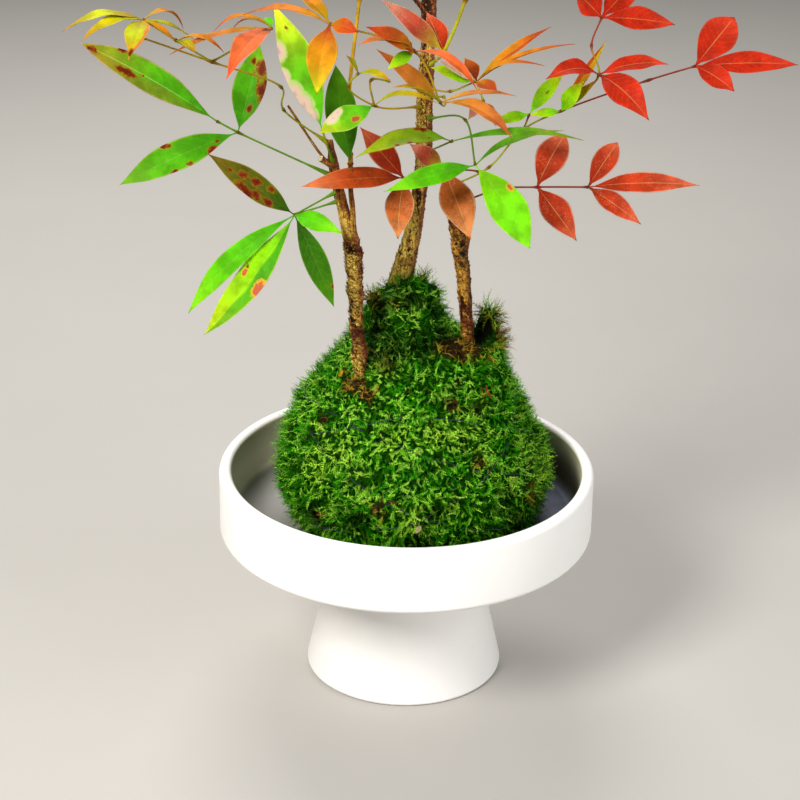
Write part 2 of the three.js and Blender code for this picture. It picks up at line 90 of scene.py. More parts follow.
def makePiece(name, points, faces, material, marks=None, uv=None, smooth=True):
    mesh = bpy.data.meshes.new(name)
    mesh.from_pydata((np.asarray(points) * mm).tolist(), [], faces)
    if smooth:
        mesh.shade_smooth()
    else:
        mesh.shade_flat()
    for key, values in (marks or {}).items():
        values = np.asarray(values, np.float32)
        kind, field = attributeKinds[values[0].size]
        mesh.attributes.new(key, kind, "POINT").data.foreach_set(field, values.ravel())
    if uv is not None:
        corner = np.zeros(len(mesh.loops), np.int32)
        mesh.loops.foreach_get("vertex_index", corner)
        mesh.uv_layers.new(name="UVMap").data.foreach_set("uv", np.asarray(uv, np.float32)[corner].ravel())
    mesh.materials.append(material)
    return addObject(name, mesh)


# A piece rides the one body and stands for the imported solid of its node
def standFor(piece, node):
    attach(piece, "root")
    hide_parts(node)


def ringFaces(rings, columns):
    faces = []
    for i in range(rings - 1):
        a, b = i * columns, (i + 1) * columns
        for j in range(columns):
            k = (j + 1) % columns
            faces.append((a + j, a + k, b + k, b + j))
    return faces


def gridFaces(rows, columns):
    corners = [(i * columns + j) for i in range(rows - 1) for j in range(columns - 1)]
    return [(a, a + 1, a + columns + 1, a + columns) for a in corners]


def fanFaces(centre, ring, turnBack=False):
    count = len(ring)
    fan = [(centre, ring[j], ring[(j + 1) % count]) for j in range(count)]
    return [f[::-1] for f in fan] if turnBack else fan


# Rings closed by a pole at each end, whose two points come after the rings
def tubeFaces(rings, columns):
    total = rings * columns
    faces = ringFaces(rings, columns) + fanFaces(total, range(columns), True)
    return faces + fanFaces(total + 1, range(total - columns, total))


# Node helpers: each adds a node and gives its output
def add(tree, kind, inputs=None, **settings):
    made = tree.nodes.new(kind)
    for key, value in settings.items():
        setattr(made, key, value)
    for key, value in (inputs or {}).items():
        if isinstance(value, bpy.types.NodeSocket):
            tree.links.new(value, made.inputs[key])
        elif value is not None:
            made.inputs[key].default_value = value
    return made


def newMaterial(name):
    material = bpy.data.materials.new(name)
    material.use_nodes = True
    material.node_tree.nodes.clear()
    return material, material.node_tree


# A Geometry Nodes tree with named inputs, each with its kind of socket
def newTree(name, sockets):
    group = bpy.data.node_groups.new(name, "GeometryNodeTree")
    for label, kind in sockets.items():
        group.interface.new_socket(name=label, in_out="INPUT", socket_type=f"NodeSocket{kind}")
    group.interface.new_socket(name="Result", in_out="OUTPUT", socket_type="NodeSocketGeometry")
    return group, add(group, "NodeGroupInput").outputs


# Every tree ends in plain faces with their finish
def endTree(group, geometry, finish):
    whole = add(group, "GeometryNodeRealizeInstances", {"Geometry": geometry})
    finished = add(group, "GeometryNodeSetMaterial", {"Geometry": whole.outputs[0], "Material": finish})
    add(group, "NodeGroupOutput", {"Result": finished.outputs[0]})
    return group


def maths(tree, operation, a, b=0.0):
    return add(tree, "ShaderNodeMath", {0: a, 1: b}, operation=operation).outputs[0]


def times(tree, a, b):
    return maths(tree, "MULTIPLY", a, b)


def plus(tree, a, b):
    return maths(tree, "ADD", a, b)


def vectorMaths(tree, operation, a, b=None, scale=None):
    return add(tree, "ShaderNodeVectorMath", {0: a, 1: b, "Scale": scale}, operation=operation).outputs[0]


def ramp(tree, value, low, high, toLow=0.0, toHigh=1.0):
    inputs = {"Value": value, "From Min": low, "From Max": high, "To Min": toLow, "To Max": toHigh}
    return add(tree, "ShaderNodeMapRange", inputs, interpolation_type="SMOOTHSTEP").outputs[0]


def mixColour(tree, factor, a, b, blend="MIX"):
    a, b = (rgba(colour) if isinstance(colour, str) else colour for colour in (a, b))
    return add(tree, "ShaderNodeMix", {0: factor, 6: a, 7: b}, data_type="RGBA", blend_type=blend).outputs[2]


# Lays a paint over a colour, thicker as the mask rises from low to high, up to the share given as most
def paint(tree, under, code, mask, low, high, most=1.0):
    return mixColour(tree, ramp(tree, mask, low, high, 0.0, most), under, code)


def grain(tree, where, scale, detail=3.0, rough=0.55):
    inputs = {"Vector": where, "Scale": scale, "Detail": detail, "Roughness": rough}
    return add(tree, "ShaderNodeTexNoise", inputs).outputs["Fac"]


def cells(tree, where, scale, feature="F1"):
    return add(tree, "ShaderNodeTexVoronoi", {"Vector": where, "Scale": scale}, feature=feature).outputs


def cellChance(tree, cell):
    return add(tree, "ShaderNodeSeparateColor", {0: cell["Color"]}).outputs[0]


def attribute(tree, name, output="Fac"):
    return add(tree, "ShaderNodeAttribute", attribute_name=name).outputs[output]


def objectPlace(tree):
    return add(tree, "ShaderNodeTexCoord").outputs["Object"]


def axes(tree, where):
    return add(tree, "ShaderNodeSeparateXYZ", {0: where}).outputs


def bumped(tree, height, strength, distance):
    inputs = {"Height": height, "Strength": strength, "Distance": distance}
    return add(tree, "ShaderNodeBump", inputs).outputs[0]


# Ends a material with its shader; through is the share of light that passes a thin leaf
def endMaterial(tree, colour, roughness, specular=0.5, normal=None, through=0.0, throughNormal=None):
    inputs = {"Base Color": colour, "Roughness": roughness, "Specular IOR Level": specular, "Normal": normal}
    surface = add(tree, "ShaderNodeBsdfPrincipled", inputs).outputs[0]
    if through:
        passed = add(tree, "ShaderNodeBsdfTranslucent", {"Color": colour, "Normal": throughNormal}).outputs[0]
        surface = add(tree, "ShaderNodeMixShader", {0: through, 1: surface, 2: passed}).outputs[0]
    add(tree, "ShaderNodeOutputMaterial", {"Surface": surface})


# Camera, lights and floor
camera = {"height": 503.5, "left": -3.2, "front": -849.4, "lookDown": 24.03, "roll": 0.84, "lens": 99.1,
          "sensor": 36, "reach": 20}
lights = {
    "key": {"place": (-560, -760, 860), "size": 380, "power": 18.5, "colour": (1.0, 0.985, 0.96)},
    "fill": {"place": (900, -500, 520), "size": 700, "power": 6.5, "colour": (0.96, 0.98, 1.0)},
    "back": {"place": (-150, 800, 950), "size": 700, "power": 10.5, "colour": (1.0, 0.98, 0.94)},
}
lightTarget = (0, 0, 180)
room = {"light": 0.25, "colour": (0.95, 0.97, 1.0, 1.0), "floor": ("aaa6a0", "b2aea8"), "floorReach": 6000}


def makeCamera():
    data = bpy.data.cameras.new("camera")
    data.lens = camera["lens"]
    data.sensor_width = camera["sensor"]
    data.clip_end = camera["reach"]
    made = addObject("camera", data)
    made.location = Vector((camera["left"], camera["front"], camera["height"])) * mm
    tilt = Euler((math.radians(90 - camera["lookDown"]), 0, 0)).to_quaternion()
    made.rotation_mode = "QUATERNION"
    made.rotation_quaternion = tilt @ Quaternion((0, 0, 1), math.radians(camera["roll"]))
    bpy.context.scene.camera = made


def makeLights():
    for name, plan in lights.items():
        data = bpy.data.lights.new(name, "AREA")
        data.size = plan["size"] * mm
        data.energy = plan["power"]
        data.color = plan["colour"]
        lamp = addObject(name, data)
        place = Vector(plan["place"])
        lamp.location = place * mm
        lamp.rotation_euler = (Vector(lightTarget) - place).to_track_quat("-Z", "Y").to_euler()
    world = bpy.data.worlds.new("paleRoom")
    world.use_nodes = True
    background = world.node_tree.nodes["Background"]
    background.inputs["Color"].default_value = room["colour"]
    background.inputs["Strength"].default_value = room["light"]
    bpy.context.scene.world = world
    bpy.context.scene.view_settings.view_transform = "Standard"


def makeFloor():
    material, tree = newMaterial("paleFloor")
    tone = mixColour(tree, grain(tree, objectPlace(tree), 6), *room["floor"])
    endMaterial(tree, tone, 0.7)
    reach = room["floorReach"]
    corners = [(-reach, -reach, 0), (reach, -reach, 0), (reach, reach, 0), (-reach, reach, 0)]
    floor = makePiece("floor", corners, [(0, 1, 2, 3)], material)


makeCamera()
makeLights()
makeFloor()
print("camera, lights and floor are set")

# Dish: white outside, dark glossy glaze inside, which is lighter towards the left: painted reflection, as is
# the blue-grey of the glazed floor
dish = {
    "rimRadius": 80, "height": 95, "wall": 5.5, "bowlHeight": 29, "outerFillet": 2.5, "innerFillet": 4.5,
    "neckRadius": 28, "footRadius": 42.6, "footEdge": 1.8, "footWall": 5, "columns": 224,
    "outside": ("eeebe6", "f6f4f0"), "rimTone": "8f8a5a",
    # The lighter left tones of the inner wall and the floor, and the floor's blue-grey, are painted
    # reflection on the dark glaze
    "inside": ("4c4832", "5c5842"), "insideTop": "c0bca0", "insideReflectionLeft": "f0e8d0",
    "floor": ("4e5264", "60667a"), "floorReflectionLeft": "8c8a84",
}
floorLevel = dish["height"] - dish["bowlHeight"] + dish["wall"]


def arcPoints(r, z, radius, start, end, steps):
    turns = np.radians(np.linspace(start, end, steps + 1))
    return [(r + radius * math.cos(a), z + radius * math.sin(a)) for a in turns]


def dishMaterial():
    material, tree = newMaterial("dishGlaze")
    where = objectPlace(tree)
    glaze = attribute(tree, "glaze")
    cloud = grain(tree, where, 38, 4)
    cloudy = ramp(tree, cloud, 0.35, 0.65)
    side = axes(tree, where)[0]
    white = mixColour(tree, cloud, *dish["outside"])
    wall = mixColour(tree, cloudy, *dish["inside"])
    # Painted reflection: the inner wall and the glazed floor are lighter towards the left
    wall = mixColour(tree, ramp(tree, side, -0.07, 0.03), dish["insideReflectionLeft"], wall)
    wall = mixColour(tree, attribute(tree, "deep"), dish["insideTop"], wall)
    # The floor's dark glaze is tinted blue-grey as painted reflection of the room
    base = mixColour(tree, cloudy, *dish["floor"])
    base = mixColour(tree, ramp(tree, side, -0.06, 0.045), dish["floorReflectionLeft"], base)
    dark = mixColour(tree, attribute(tree, "floor"), wall, base)
    olive = paint(tree, white, dish["rimTone"], glaze, 0.0, 0.5)
    tone = paint(tree, olive, dark, glaze, 0.35, 1.0)
    roughness = ramp(tree, glaze, 0.2, 0.9, 0.42, 0.5)
    specular = ramp(tree, glaze, 0.2, 0.9, 0.5, 0.15)
    shape = bumped(tree, grain(tree, where, 900, 2), 0.06, 0.0006)
    endMaterial(tree, tone, roughness, specular, shape)
    return material


# The outline runs down inside the foot's hollow, round the foot, up over the rim and down to the glazed floor
def makeDish():
    height, neck, rim = dish["height"], dish["neckRadius"], dish["rimRadius"]
    fillet, innerFillet, edge = dish["outerFillet"], dish["innerFillet"], dish["footEdge"]
    underside = height - dish["bowlHeight"]
    inner = rim - dish["wall"]
    lip = dish["wall"] / 2
    corner = inner - innerFillet
    outline = [(neck - dish["footWall"], underside), (dish["footRadius"] - dish["footWall"], 0)]
    outline += arcPoints(dish["footRadius"] - edge, edge, edge, -90, 0, 8)
    outline += [(neck + 0.12, underside - 0.5), (neck + 0.6, underside)]
    outline += arcPoints(rim - fillet, underside + fillet, fillet, -90, 0, 10)
    outline += arcPoints(rim - lip, height - lip, lip, 0, 180, 20)
    rimEnd = len(outline)
    outline += [(inner, height - lip - step) for step in (2, 5, 9, 13)]
    outline += arcPoints(corner, floorLevel + innerFillet, innerFillet, 0, -90, 10)
    outline += [(corner * share, floorLevel) for share in (0.85, 0.6, 0.3)]
    columns = dish["columns"]
    points = [(r * math.cos(tau * j / columns), r * math.sin(tau * j / columns), z)
              for r, z in outline for j in range(columns)]
    points += [(0, 0, underside), (0, 0, floorLevel)]
    levels = np.array([z for r, z in outline])
    inside = np.array([r <= inner + 0.9 * lip and i >= rimEnd - 9 for i, (r, z) in enumerate(outline)])

    # A mark is 0 outside the bowl; the poles below and on the floor come last
    def mark(rise):
        return np.append(np.repeat(np.where(inside, rise, 0), columns), (0, 1))

    marks = {"glaze": mark(smoothstep(height - levels, 0.1, 3.6)),
             "floor": mark(smoothstep(floorLevel + 3.6 - levels, 0, 3.2)),
             "deep": mark(smoothstep(height - levels, 1, 15))}
    faces = tubeFaces(len(outline), columns)
    piece = makePiece("dish_glazed", points, faces, dishMaterial(), marks)
    standFor(piece, "dish")


makeDish()
print("dish is turned")

# Moss ball: the bed repeats the form of the moss cover, with fine clumps cut a little into it
ball = {
    "centre": 3, "lean": -3, "leanLevels": (96, 140), "radius": 58.4, "base": floorLevel + 0.3,
    "widestAbove": 24, "top": 172, "baseRadius": 49.5, "lowerCurve": 2.2, "upperCurve": 1.8, "relief": 1.1,
    "moundLevels": (100, 132), "hollow": (30, -7, 161.3), "hollowRadius": 8.2, "hollowDepth": 11,
    "hollowWay": (-0.25, 0.9, -0.5), "shadeFrom": 100, "columns": 208, "lowerRows": 20, "upperRows": 92,
    "sunk": 2.1, "sunkLimits": (0.3, 4.2), "clumps": [(1.9, 6, 0), (1.2, 2.4, 9)], "pitDepth": 2.5,
    "raisedBy": 3.4,
}
# Swirls in the moss: their width and strength, the way that all sprigs hang, and how strongly and how far
# round the hollow they lean away from it
swirls = {"size": 9, "seeds": (31, 47, 59), "strength": 2.4, "hang": (0.0, -0.1, -0.5), "offHollow": 2,
          "reach": 4}
# Mounds round the canes' feet: place, height, and spread along x and y
mounds = [((-2, 12), 12, (10.5, 11)), ((-17, 6), 6, (5, 6)), ((8, 11), 5, (4, 6)), ((35, 1), 23, (6, 8))]
# Tones of a sprig from its root up, with three tips from the darkest sprigs to the lightest, and of the bed.
# The near-black root is partly the moss's own dark stems and partly painted shade deep among the sprigs
mossTones = {
    "root": "020a00", "stem": ("062c00", "308000"), "tips": ("0a3c00", "3cb800", "b8ff4c"), "fresh": "d4ff4c",
    "dry": ("2a1406", "a88420"), "dryTip": "d8b040",
    "bed": ("061a00", "144002"), "bedDry": "22140a", "bedShade": "050802",
}
# Places on the ball where the moss is dried brown, shaded or fresh: x, y, z and reach
mossPatches = {
    "dry": [
        (12, -16, 156, 4), (15, -12, 157, 5), (17, -14, 154, 6), (20, -10, 155, 6), (22, -12, 152, 6),
        (25, -9, 153, 6), (27, -10, 152, 5), (37, -4, 162, 4), (40, -3, 157, 3), (39, 0, 155, 3),
        (-21, -27, 143, 5), (-17, -31, 141, 5), (-25, -24, 142, 6), (-26, -20, 144, 4), (32, -24, 137, 4),
        (28, -28, 136, 4), (18, -34, 138, 4), (8, -32, 145, 3), (30, -45, 118, 5), (51, -33, 102, 4),
        (52, -34, 97, 5), (-11, -56, 101, 5), (-5, -5, 171, 3), (2, -20, 152, 3), (-35, -27, 128, 4),
        (-12, 0, 169, 5)],
    "shade": [
        (-8, -18, 156, 13), (4, -17, 158, 12), (14, -10, 160, 10), (-14, -6, 163, 10), (0, -3, 170, 9),
        (9, -2, 167, 8), (31, -6, 158, 8), (-24, -20, 147, 5), (-38, -40, 89, 9), (5, -57, 84, 10),
        (24, -42, 125, 6), (41, -43, 99, 7), (12, -57, 100, 6), (-22, -54, 94, 8), (8, -53, 117, 5),
        (46, -39, 86, 9), (16, -33, 141, 7), (-14, -36, 138, 5), (30, -30, 135, 6), (53, -25, 92, 7)],
    "fresh": [
        (57, -12, 110, 9), (59, -12, 100, 9), (53, -27, 100, 8), (52, -12, 124, 7), (-10, -25, 150, 5),
        (-25, -19, 146, 3), (12, -43, 130, 8), (-30, -41, 121, 9), (50, -22, 116, 7), (1, -58, 99, 7),
        (19, -55, 102, 6), (20, -39, 131, 6), (-36, -39, 111, 8), (-20, -51, 113, 8), (28, -34, 131, 6),
        (-6, -46, 128, 7), (40, -40, 108, 6)],
    "wisp": [
        (34, 1, 166, 7), (37, 0, 163, 7), (40, -2, 155, 7), (30, 2, 164, 7), (41, 3, 152, 5), (5, 8, 176, 3),
        (-10, -24, 151, 4), (-26, -19, 145, 4), (34, -12, 150, 4), (28, 3, 161, 5), (-14, 3, 170, 3),
        (39, -4, 157, 5), (27, 0, 166, 4)],
    "raised": [
        (9, 9, 172, 6), (11, 8, 167, 6), (-14, 6, 169, 5), (33, 2, 166, 5), (26, -1, 163, 5),
        (25, -7, 153, 6), (20, -11, 153, 5), (30, -10, 151, 5), (-17, -28, 143, 6), (-12, -27, 146, 5),
        (-22, -27, 142, 5)],
    "pit": [(-23.5, -19.5, 147, 3), (-12, -1, 169, 3)],
}


def ballRadius(z):
    widest = ball["base"] + ball["widestAbove"]
    below = np.clip((widest - z) / ball["widestAbove"], 0, 1)
    above = np.clip((z - widest) / (ball["top"] - widest), 0, 1)
    low = ball["radius"] - (ball["radius"] - ball["baseRadius"]) * below ** ball["lowerCurve"]
    return np.where(z < widest, low, ball["radius"] * (1 - above ** ball["upperCurve"]))


def moundLift(x, y, z):
    lift = sum(h * np.exp(-(((x - at[0]) / wide) ** 2 + ((y - at[1]) / deep) ** 2) / 2)
               for at, h, (wide, deep) in mounds)
    return smoothstep(z, *ball["moundLevels"]) * lift


def mossPoint(bearing, z):
    smooth = ballRadius(z)
    lumps = np.sin(9 * bearing + z / 6) * np.cos(z / 5 - 4 * bearing) + 0.5 * np.sin(15 * bearing - z / 3)
    r = smooth + ball["relief"] * lumps * (smooth / ball["radius"]) * smoothstep(z - ball["base"], 0, 6)
    x = ball["centre"] + ball["lean"] * smoothstep(z, *ball["leanLevels"]) + r * np.cos(bearing)
    y = r * np.sin(bearing)
    return np.stack([x, y, z + moundLift(x, y, z)], -1)


def clumps(points, size, seed):
    return np.array([noise.noise(Vector(p / size) + Vector((seed, 0, 0))) for p in points])


def nearness(points, patches):
    share = np.zeros(len(points))
    for x, y, z, reach in patches:
        share = np.maximum(share, np.exp(-((points - (x, y, z)) ** 2).sum(1) / (2 * (0.62 * reach) ** 2)))
    return share


# The bed's points row by row, the way that each point faces, and the number of rows
def mossBedPoints():
    widest = ball["base"] + ball["widestAbove"]
    lower = np.linspace(ball["base"], widest, ball["lowerRows"], endpoint=False)
    upper = widest + (ball["top"] - widest) * np.sin(np.linspace(0, np.pi / 2, ball["upperRows"]))[:-1]
    levels = np.concatenate([lower, upper])
    bearings = np.arange(ball["columns"]) * tau / ball["columns"]
    bearing, z = np.meshgrid(bearings, levels)
    grid = mossPoint(bearing, z)
    ahead = np.roll(grid, -1, 1) - np.roll(grid, 1, 1)
    upward = np.gradient(grid, axis=0)
    facing = np.cross(ahead, upward)
    facing /= np.linalg.norm(facing, axis=2, keepdims=True) + 1e-9
    return grid.reshape(-1, 3), facing.reshape(-1, 3), len(levels)


def mossBed(material):
    points, facing, rows = mossBedPoints()
    depth = ball["sunk"]
    for rise, size, seed in ball["clumps"]:
        depth = depth + rise * clumps(points, size, seed)
    depth = np.clip(depth, *ball["sunkLimits"])
    pits, raised = (nearness(points, mossPatches[key]) for key in ("pit", "raised"))
    depth += ball["pitDepth"] * pits - ball["raisedBy"] * raised
    shaped = points - facing * depth[:, None]
    hollow = np.array(ball["hollow"], float)
    away = np.linalg.norm(shaped - hollow, axis=1)
    inward = unit(np.array(ball["hollowWay"]))
    sunk = np.clip(1 - away / ball["hollowRadius"], 0, 1)
    shaped += inward * (ball["hollowDepth"] * sunk ** 0.7)[:, None]
    shaped[:, 2] = np.maximum(shaped[:, 2], ball["base"])
    crown = mossPoint(np.array(0.0), np.array(ball["top"] - 0.001))
    crown[2] -= 0.6
    everything = np.vstack([shaped, [(ball["centre"], 0, ball["base"])], [crown]])
    aboveBase = everything[:, 2] - ball["base"]
    marks = {key: nearness(everything, patches) for key, patches in mossPatches.items()}
    # Shade deepens in the hollow, between the clumps, towards the dish and in the pits
    hollowShade = np.append(smoothstep(sunk, 0.0, 0.1), (0, 0))
    clumpShade = 0.6 * np.append(smoothstep(depth, 2.4, 4.0), (0, 0))
    lowShade = 0.9 * smoothstep(16 - aboveBase, 0, 16)
    for shade in (hollowShade, clumpShade, lowShade, marks["pit"]):
        marks["shade"] = np.maximum(marks["shade"], shade)
    marks["grow"] = np.append(np.where(sunk > 0.01, 0, 1), (0, 1)) * (aboveBase > 0.5)
    marks["grow"] = marks["grow"] * (1 - 0.8 * smoothstep(marks["dry"], 0.3, 0.7)) * (marks["pit"] < 0.5)
    marks["wisp"] = smoothstep(marks["wisp"], 0.2, 0.7) * marks["grow"]
    marks["dried"] = smoothstep(marks["dry"], 0.45, 0.9) * (marks["grow"] > 0)
    swirl = np.stack([clumps(everything, swirls["size"], seed) for seed in swirls["seeds"]], -1)
    swirl = swirls["strength"] * swirl + swirls["hang"]
    # Round the hollow the sprigs lean away from it
    fromHollow = everything - hollow
    far = np.linalg.norm(fromHollow, axis=1, keepdims=True)
    near = np.exp(-((far - ball["hollowRadius"]) / swirls["reach"]) ** 2)
    swirl = swirl + swirls["offHollow"] * fromHollow / far * near
    outward = np.vstack([facing, [(0, 0, -1)], [(0, 0, 1)]])
    marks["flow"] = swirl - outward * (swirl * outward).sum(1)[:, None]
    return makePiece("moss_bed", everything, tubeFaces(rows, ball["columns"]), material, marks)


# Sprigs are flat feathers along +Z that face +Y: a thin stem with leaves in two ranks
def featherSprig(seed, length=3.8, pairs=6, size=0.95, curl=1.0):
    draw = np.random.default_rng(seed)
    bend = draw.uniform(-1, 1) * curl
    points, faces, along = [], [], []

    def stem(t):
        return np.array([bend * length * t * t, 0.55 * length * curl * t * t, length * t])

    steps = 3
    for i in range(steps + 1):
        t = i / steps
        half = 0.13 * (1 - 0.7 * t)
        points += [stem(t) + (-half, 0, 0), stem(t) + (half, 0, 0)]
        along += [0.25 * t, 0.25 * t]
    faces += [(2 * i, 2 * i + 1, 2 * i + 3, 2 * i + 2) for i in range(steps)]
    for pair in range(pairs):
        t = 0.1 + 0.88 * pair / (pairs - 1)
        reach = size * (0.55 + 0.9 * math.sin(math.pi * (0.2 + 0.72 * t))) * draw.uniform(0.8, 1.15)
        for side in (-1, 1):
            lean = math.radians(draw.uniform(32, 56)) * (1 - 0.45 * t)
            way = np.array([side * math.sin(lean), draw.uniform(-0.1, 0.45), math.cos(lean)])
            foot = stem(t)
            start = len(points)
            width = 0.18 * reach
            points += [foot + (0, 0, -width), foot + way * reach, foot + (0, 0, width * 1.3)]
            along += [0.4 + 0.3 * t, 0.8 + 0.2 * t, 0.42 + 0.3 * t]
            faces.append((start, start + 1, start + 2) if side > 0 else (start, start + 2, start + 1))
    return points, faces, along


# A tuft seen end on: pointed leaves in a star round a short stem
def starSprig(seed, leaves=9, reach=1.7):
    draw = np.random.default_rng(seed)
    points, faces, along = [], [], []
    for k in range(leaves):
        turn = tau * k * 0.382 + draw.uniform(-0.3, 0.3)
        rise = draw.uniform(0.45, 1.2)
        way = unit(np.array([math.cos(turn), math.sin(turn), rise]))
        side = unit(np.cross(way, (0, 0, 1)))
        foot = np.array([0, 0, 1.4 * k / leaves])
        size = reach * draw.uniform(0.8, 1.15)
        start = len(points)
        points += [foot - side * 0.16, foot + way * size * 0.55 - side * 0.13, foot + way * size,
                   foot + way * size * 0.55 + side * 0.13, foot + side * 0.16]
        along += [0.1, 0.6, 1, 0.6, 0.1]
        faces += [(start, start + 1, start + 3, start + 4), (start + 1, start + 2, start + 3)]
    return points, faces, along


# A loose strand: a narrow ribbon that curls, with a few leaves
def strandSprig(seed, length=9, curl=1.5, half=0.17):
    draw = np.random.default_rng(seed)
    points, faces, along = [], [], []
    steps = 8
    turn = draw.uniform(0, tau)
    place = np.zeros(3)
    way = np.array([0, 0, 1.0])
    for i in range(steps + 1):
        t = i / steps
        wide = half * (1 - 0.75 * t)
        side = unit(np.cross(way, (math.sin(turn), math.cos(turn), 0.1)))
        points += [place - side * wide, place + side * wide]
        along += [0.3 + 0.6 * t] * 2
        pull = np.array([math.cos(turn), math.sin(turn), -0.12]) * curl * 0.16
        way = unit(way + pull + draw.normal(0, 0.09, 3))
        place = place + way * length / steps
    faces += [(2 * i, 2 * i + 1, 2 * i + 3, 2 * i + 2) for i in range(steps)]
    for i in range(2, steps):
        foot = np.array(points[2 * i])
        start = len(points)
        side = unit(draw.normal(0, 1, 3))
        points += [foot, foot + side * 0.9 + (0, 0, 0.5), foot + (0, 0, 0.3)]
        along += [0.5, 1, 0.6]
        faces.append((start, start + 1, start + 2))
    return points, faces, along


def variantCollection(name, shapes, material):
    collection = bpy.data.collections.new(name)
    for number, (points, faces, along) in enumerate(shapes):
        piece = makePiece(f"{name}_{number}", points, faces, material, {"along": along}, smooth=False)
        bpy.context.scene.collection.objects.unlink(piece)
        collection.objects.link(piece)
    return collection


def dropCollection(collection):
    for piece in list(collection.objects):
        bpy.data.objects.remove(piece)
    bpy.data.collections.remove(collection)


# One tree scatters any shape on a carrier: it reads the carrier's grow and flow attributes
def scatterTree():
    sizes = ("Spacing", "Lift", "Scatter", "Flow", "Raise", "Smallest", "Largest")
    sockets = {"Carrier": "Geometry", **dict.fromkeys(sizes, "Float"), "Where": "String", "Seed": "Int",
               "Shapes": "Collection", "Finish": "Material"}
    group, given = newTree("scatterOnCarrier", sockets)

    def carried(name, kind):
        return add(group, "GeometryNodeInputNamedAttribute", {"Name": name}, data_type=kind).outputs[0]

    # A random value's inputs and output stand at another place for each type
    def chosen(kind, output, inputs):
        return add(group, "FunctionNodeRandomValue", inputs, data_type=kind).outputs[output]

    def scaled(vector, factor):
        return vectorMaths(group, "SCALE", vector, scale=factor)

    inputs = {"Mesh": given["Carrier"], "Distance Min": given["Spacing"], "Density Max": 4e6,
              "Density Factor": carried(given["Where"], "FLOAT"), "Seed": given["Seed"]}
    spots = add(group, "GeometryNodeDistributePointsOnFaces", inputs, distribute_method="POISSON").outputs
    chance = chosen("FLOAT", 1, {"Seed": given["Seed"]})
    inputs = {"Geometry": spots["Points"], "Name": "tone", "Value": chance}
    kept = add(group, "GeometryNodeStoreNamedAttribute", inputs, data_type="FLOAT").outputs[0]
    # The lighter its tone, the higher a sprig stands
    normal = spots["Normal"]
    above = times(group, maths(group, "SUBTRACT", chance, 0.6), given["Raise"])
    inputs = {"Geometry": kept, "Offset": scaled(normal, above)}
    stood = add(group, "GeometryNodeSetPosition", inputs).outputs[0]
    wander = chosen("FLOAT_VECTOR", 0, {0: (-1, -1, -1), 1: (1, 1, 1), "Seed": 7})
    sideways = vectorMaths(group, "CROSS_PRODUCT", normal, wander)
    along = vectorMaths(group, "ADD", scaled(normal, given["Lift"]), scaled(sideways, given["Scatter"]))
    along = vectorMaths(group, "ADD", along, scaled(carried("flow", "FLOAT_VECTOR"), given["Flow"]))
    turned = add(group, "FunctionNodeAlignRotationToVector", {"Vector": along}, axis="Z").outputs[0]
    inputs = {"Rotation": turned, "Vector": normal}
    faced = add(group, "FunctionNodeAlignRotationToVector", inputs, axis="Y", pivot_axis="Z").outputs[0]
    inputs = {"Collection": given["Shapes"], "Separate Children": True, "Reset Children": True}
    shapes = add(group, "GeometryNodeCollectionInfo", inputs).outputs[0]
    pick = chosen("INT", 2, {4: 0, 5: 30, "Seed": 11})
    size = chosen("FLOAT", 1, {2: given["Smallest"], 3: given["Largest"], "Seed": 3})
    inputs = {"Points": stood, "Instance": shapes, "Pick Instance": True, "Instance Index": pick,
              "Rotation": faced, "Scale": size}
    placed = add(group, "GeometryNodeInstanceOnPoints", inputs)
    return endTree(group, placed.outputs[0], given["Finish"])


def runTree(name, carrier, group, values):
    modifier = carrier.modifiers.new("scatter", "NODES")
    modifier.node_group = group
    for item in group.interface.items_tree:
        if item.item_type == "SOCKET" and item.in_out == "INPUT" and item.name in values:
            modifier[item.identifier] = values[item.name]
    graph = bpy.context.evaluated_depsgraph_get()
    evaluated = carrier.evaluated_get(graph)
    mesh = bpy.data.meshes.new_from_object(evaluated, preserve_all_data_layers=True, depsgraph=graph)
    carrier.modifiers.remove(modifier)
    mesh.name = name
    return addObject(name, mesh)


# The ball is covered a quarter at a time, so that no piece has too many faces
quarters = ("front_left", "front_right", "back_left", "back_right")


def quarterOf(middle):
    depth = "front" if middle[1] < 0 else "back"
    side = "left" if middle[0] < ball["centre"] else "right"
    return f"{depth}_{side}"


# A quarter of the bed's faces as a new object, with the marks kept
def carrierPart(bed, quarter):
    made = bmesh.new()
    made.from_mesh(bed.data)
    made.faces.ensure_lookup_table()
    others = [face for face in made.faces if quarterOf(face.calc_center_median() / mm) != quarter]
    bmesh.ops.delete(made, geom=others, context="FACES")
    mesh = bpy.data.meshes.new(f"carrier_{quarter}")
    made.to_mesh(mesh)
    made.free()
    return addObject(mesh.name, mesh)


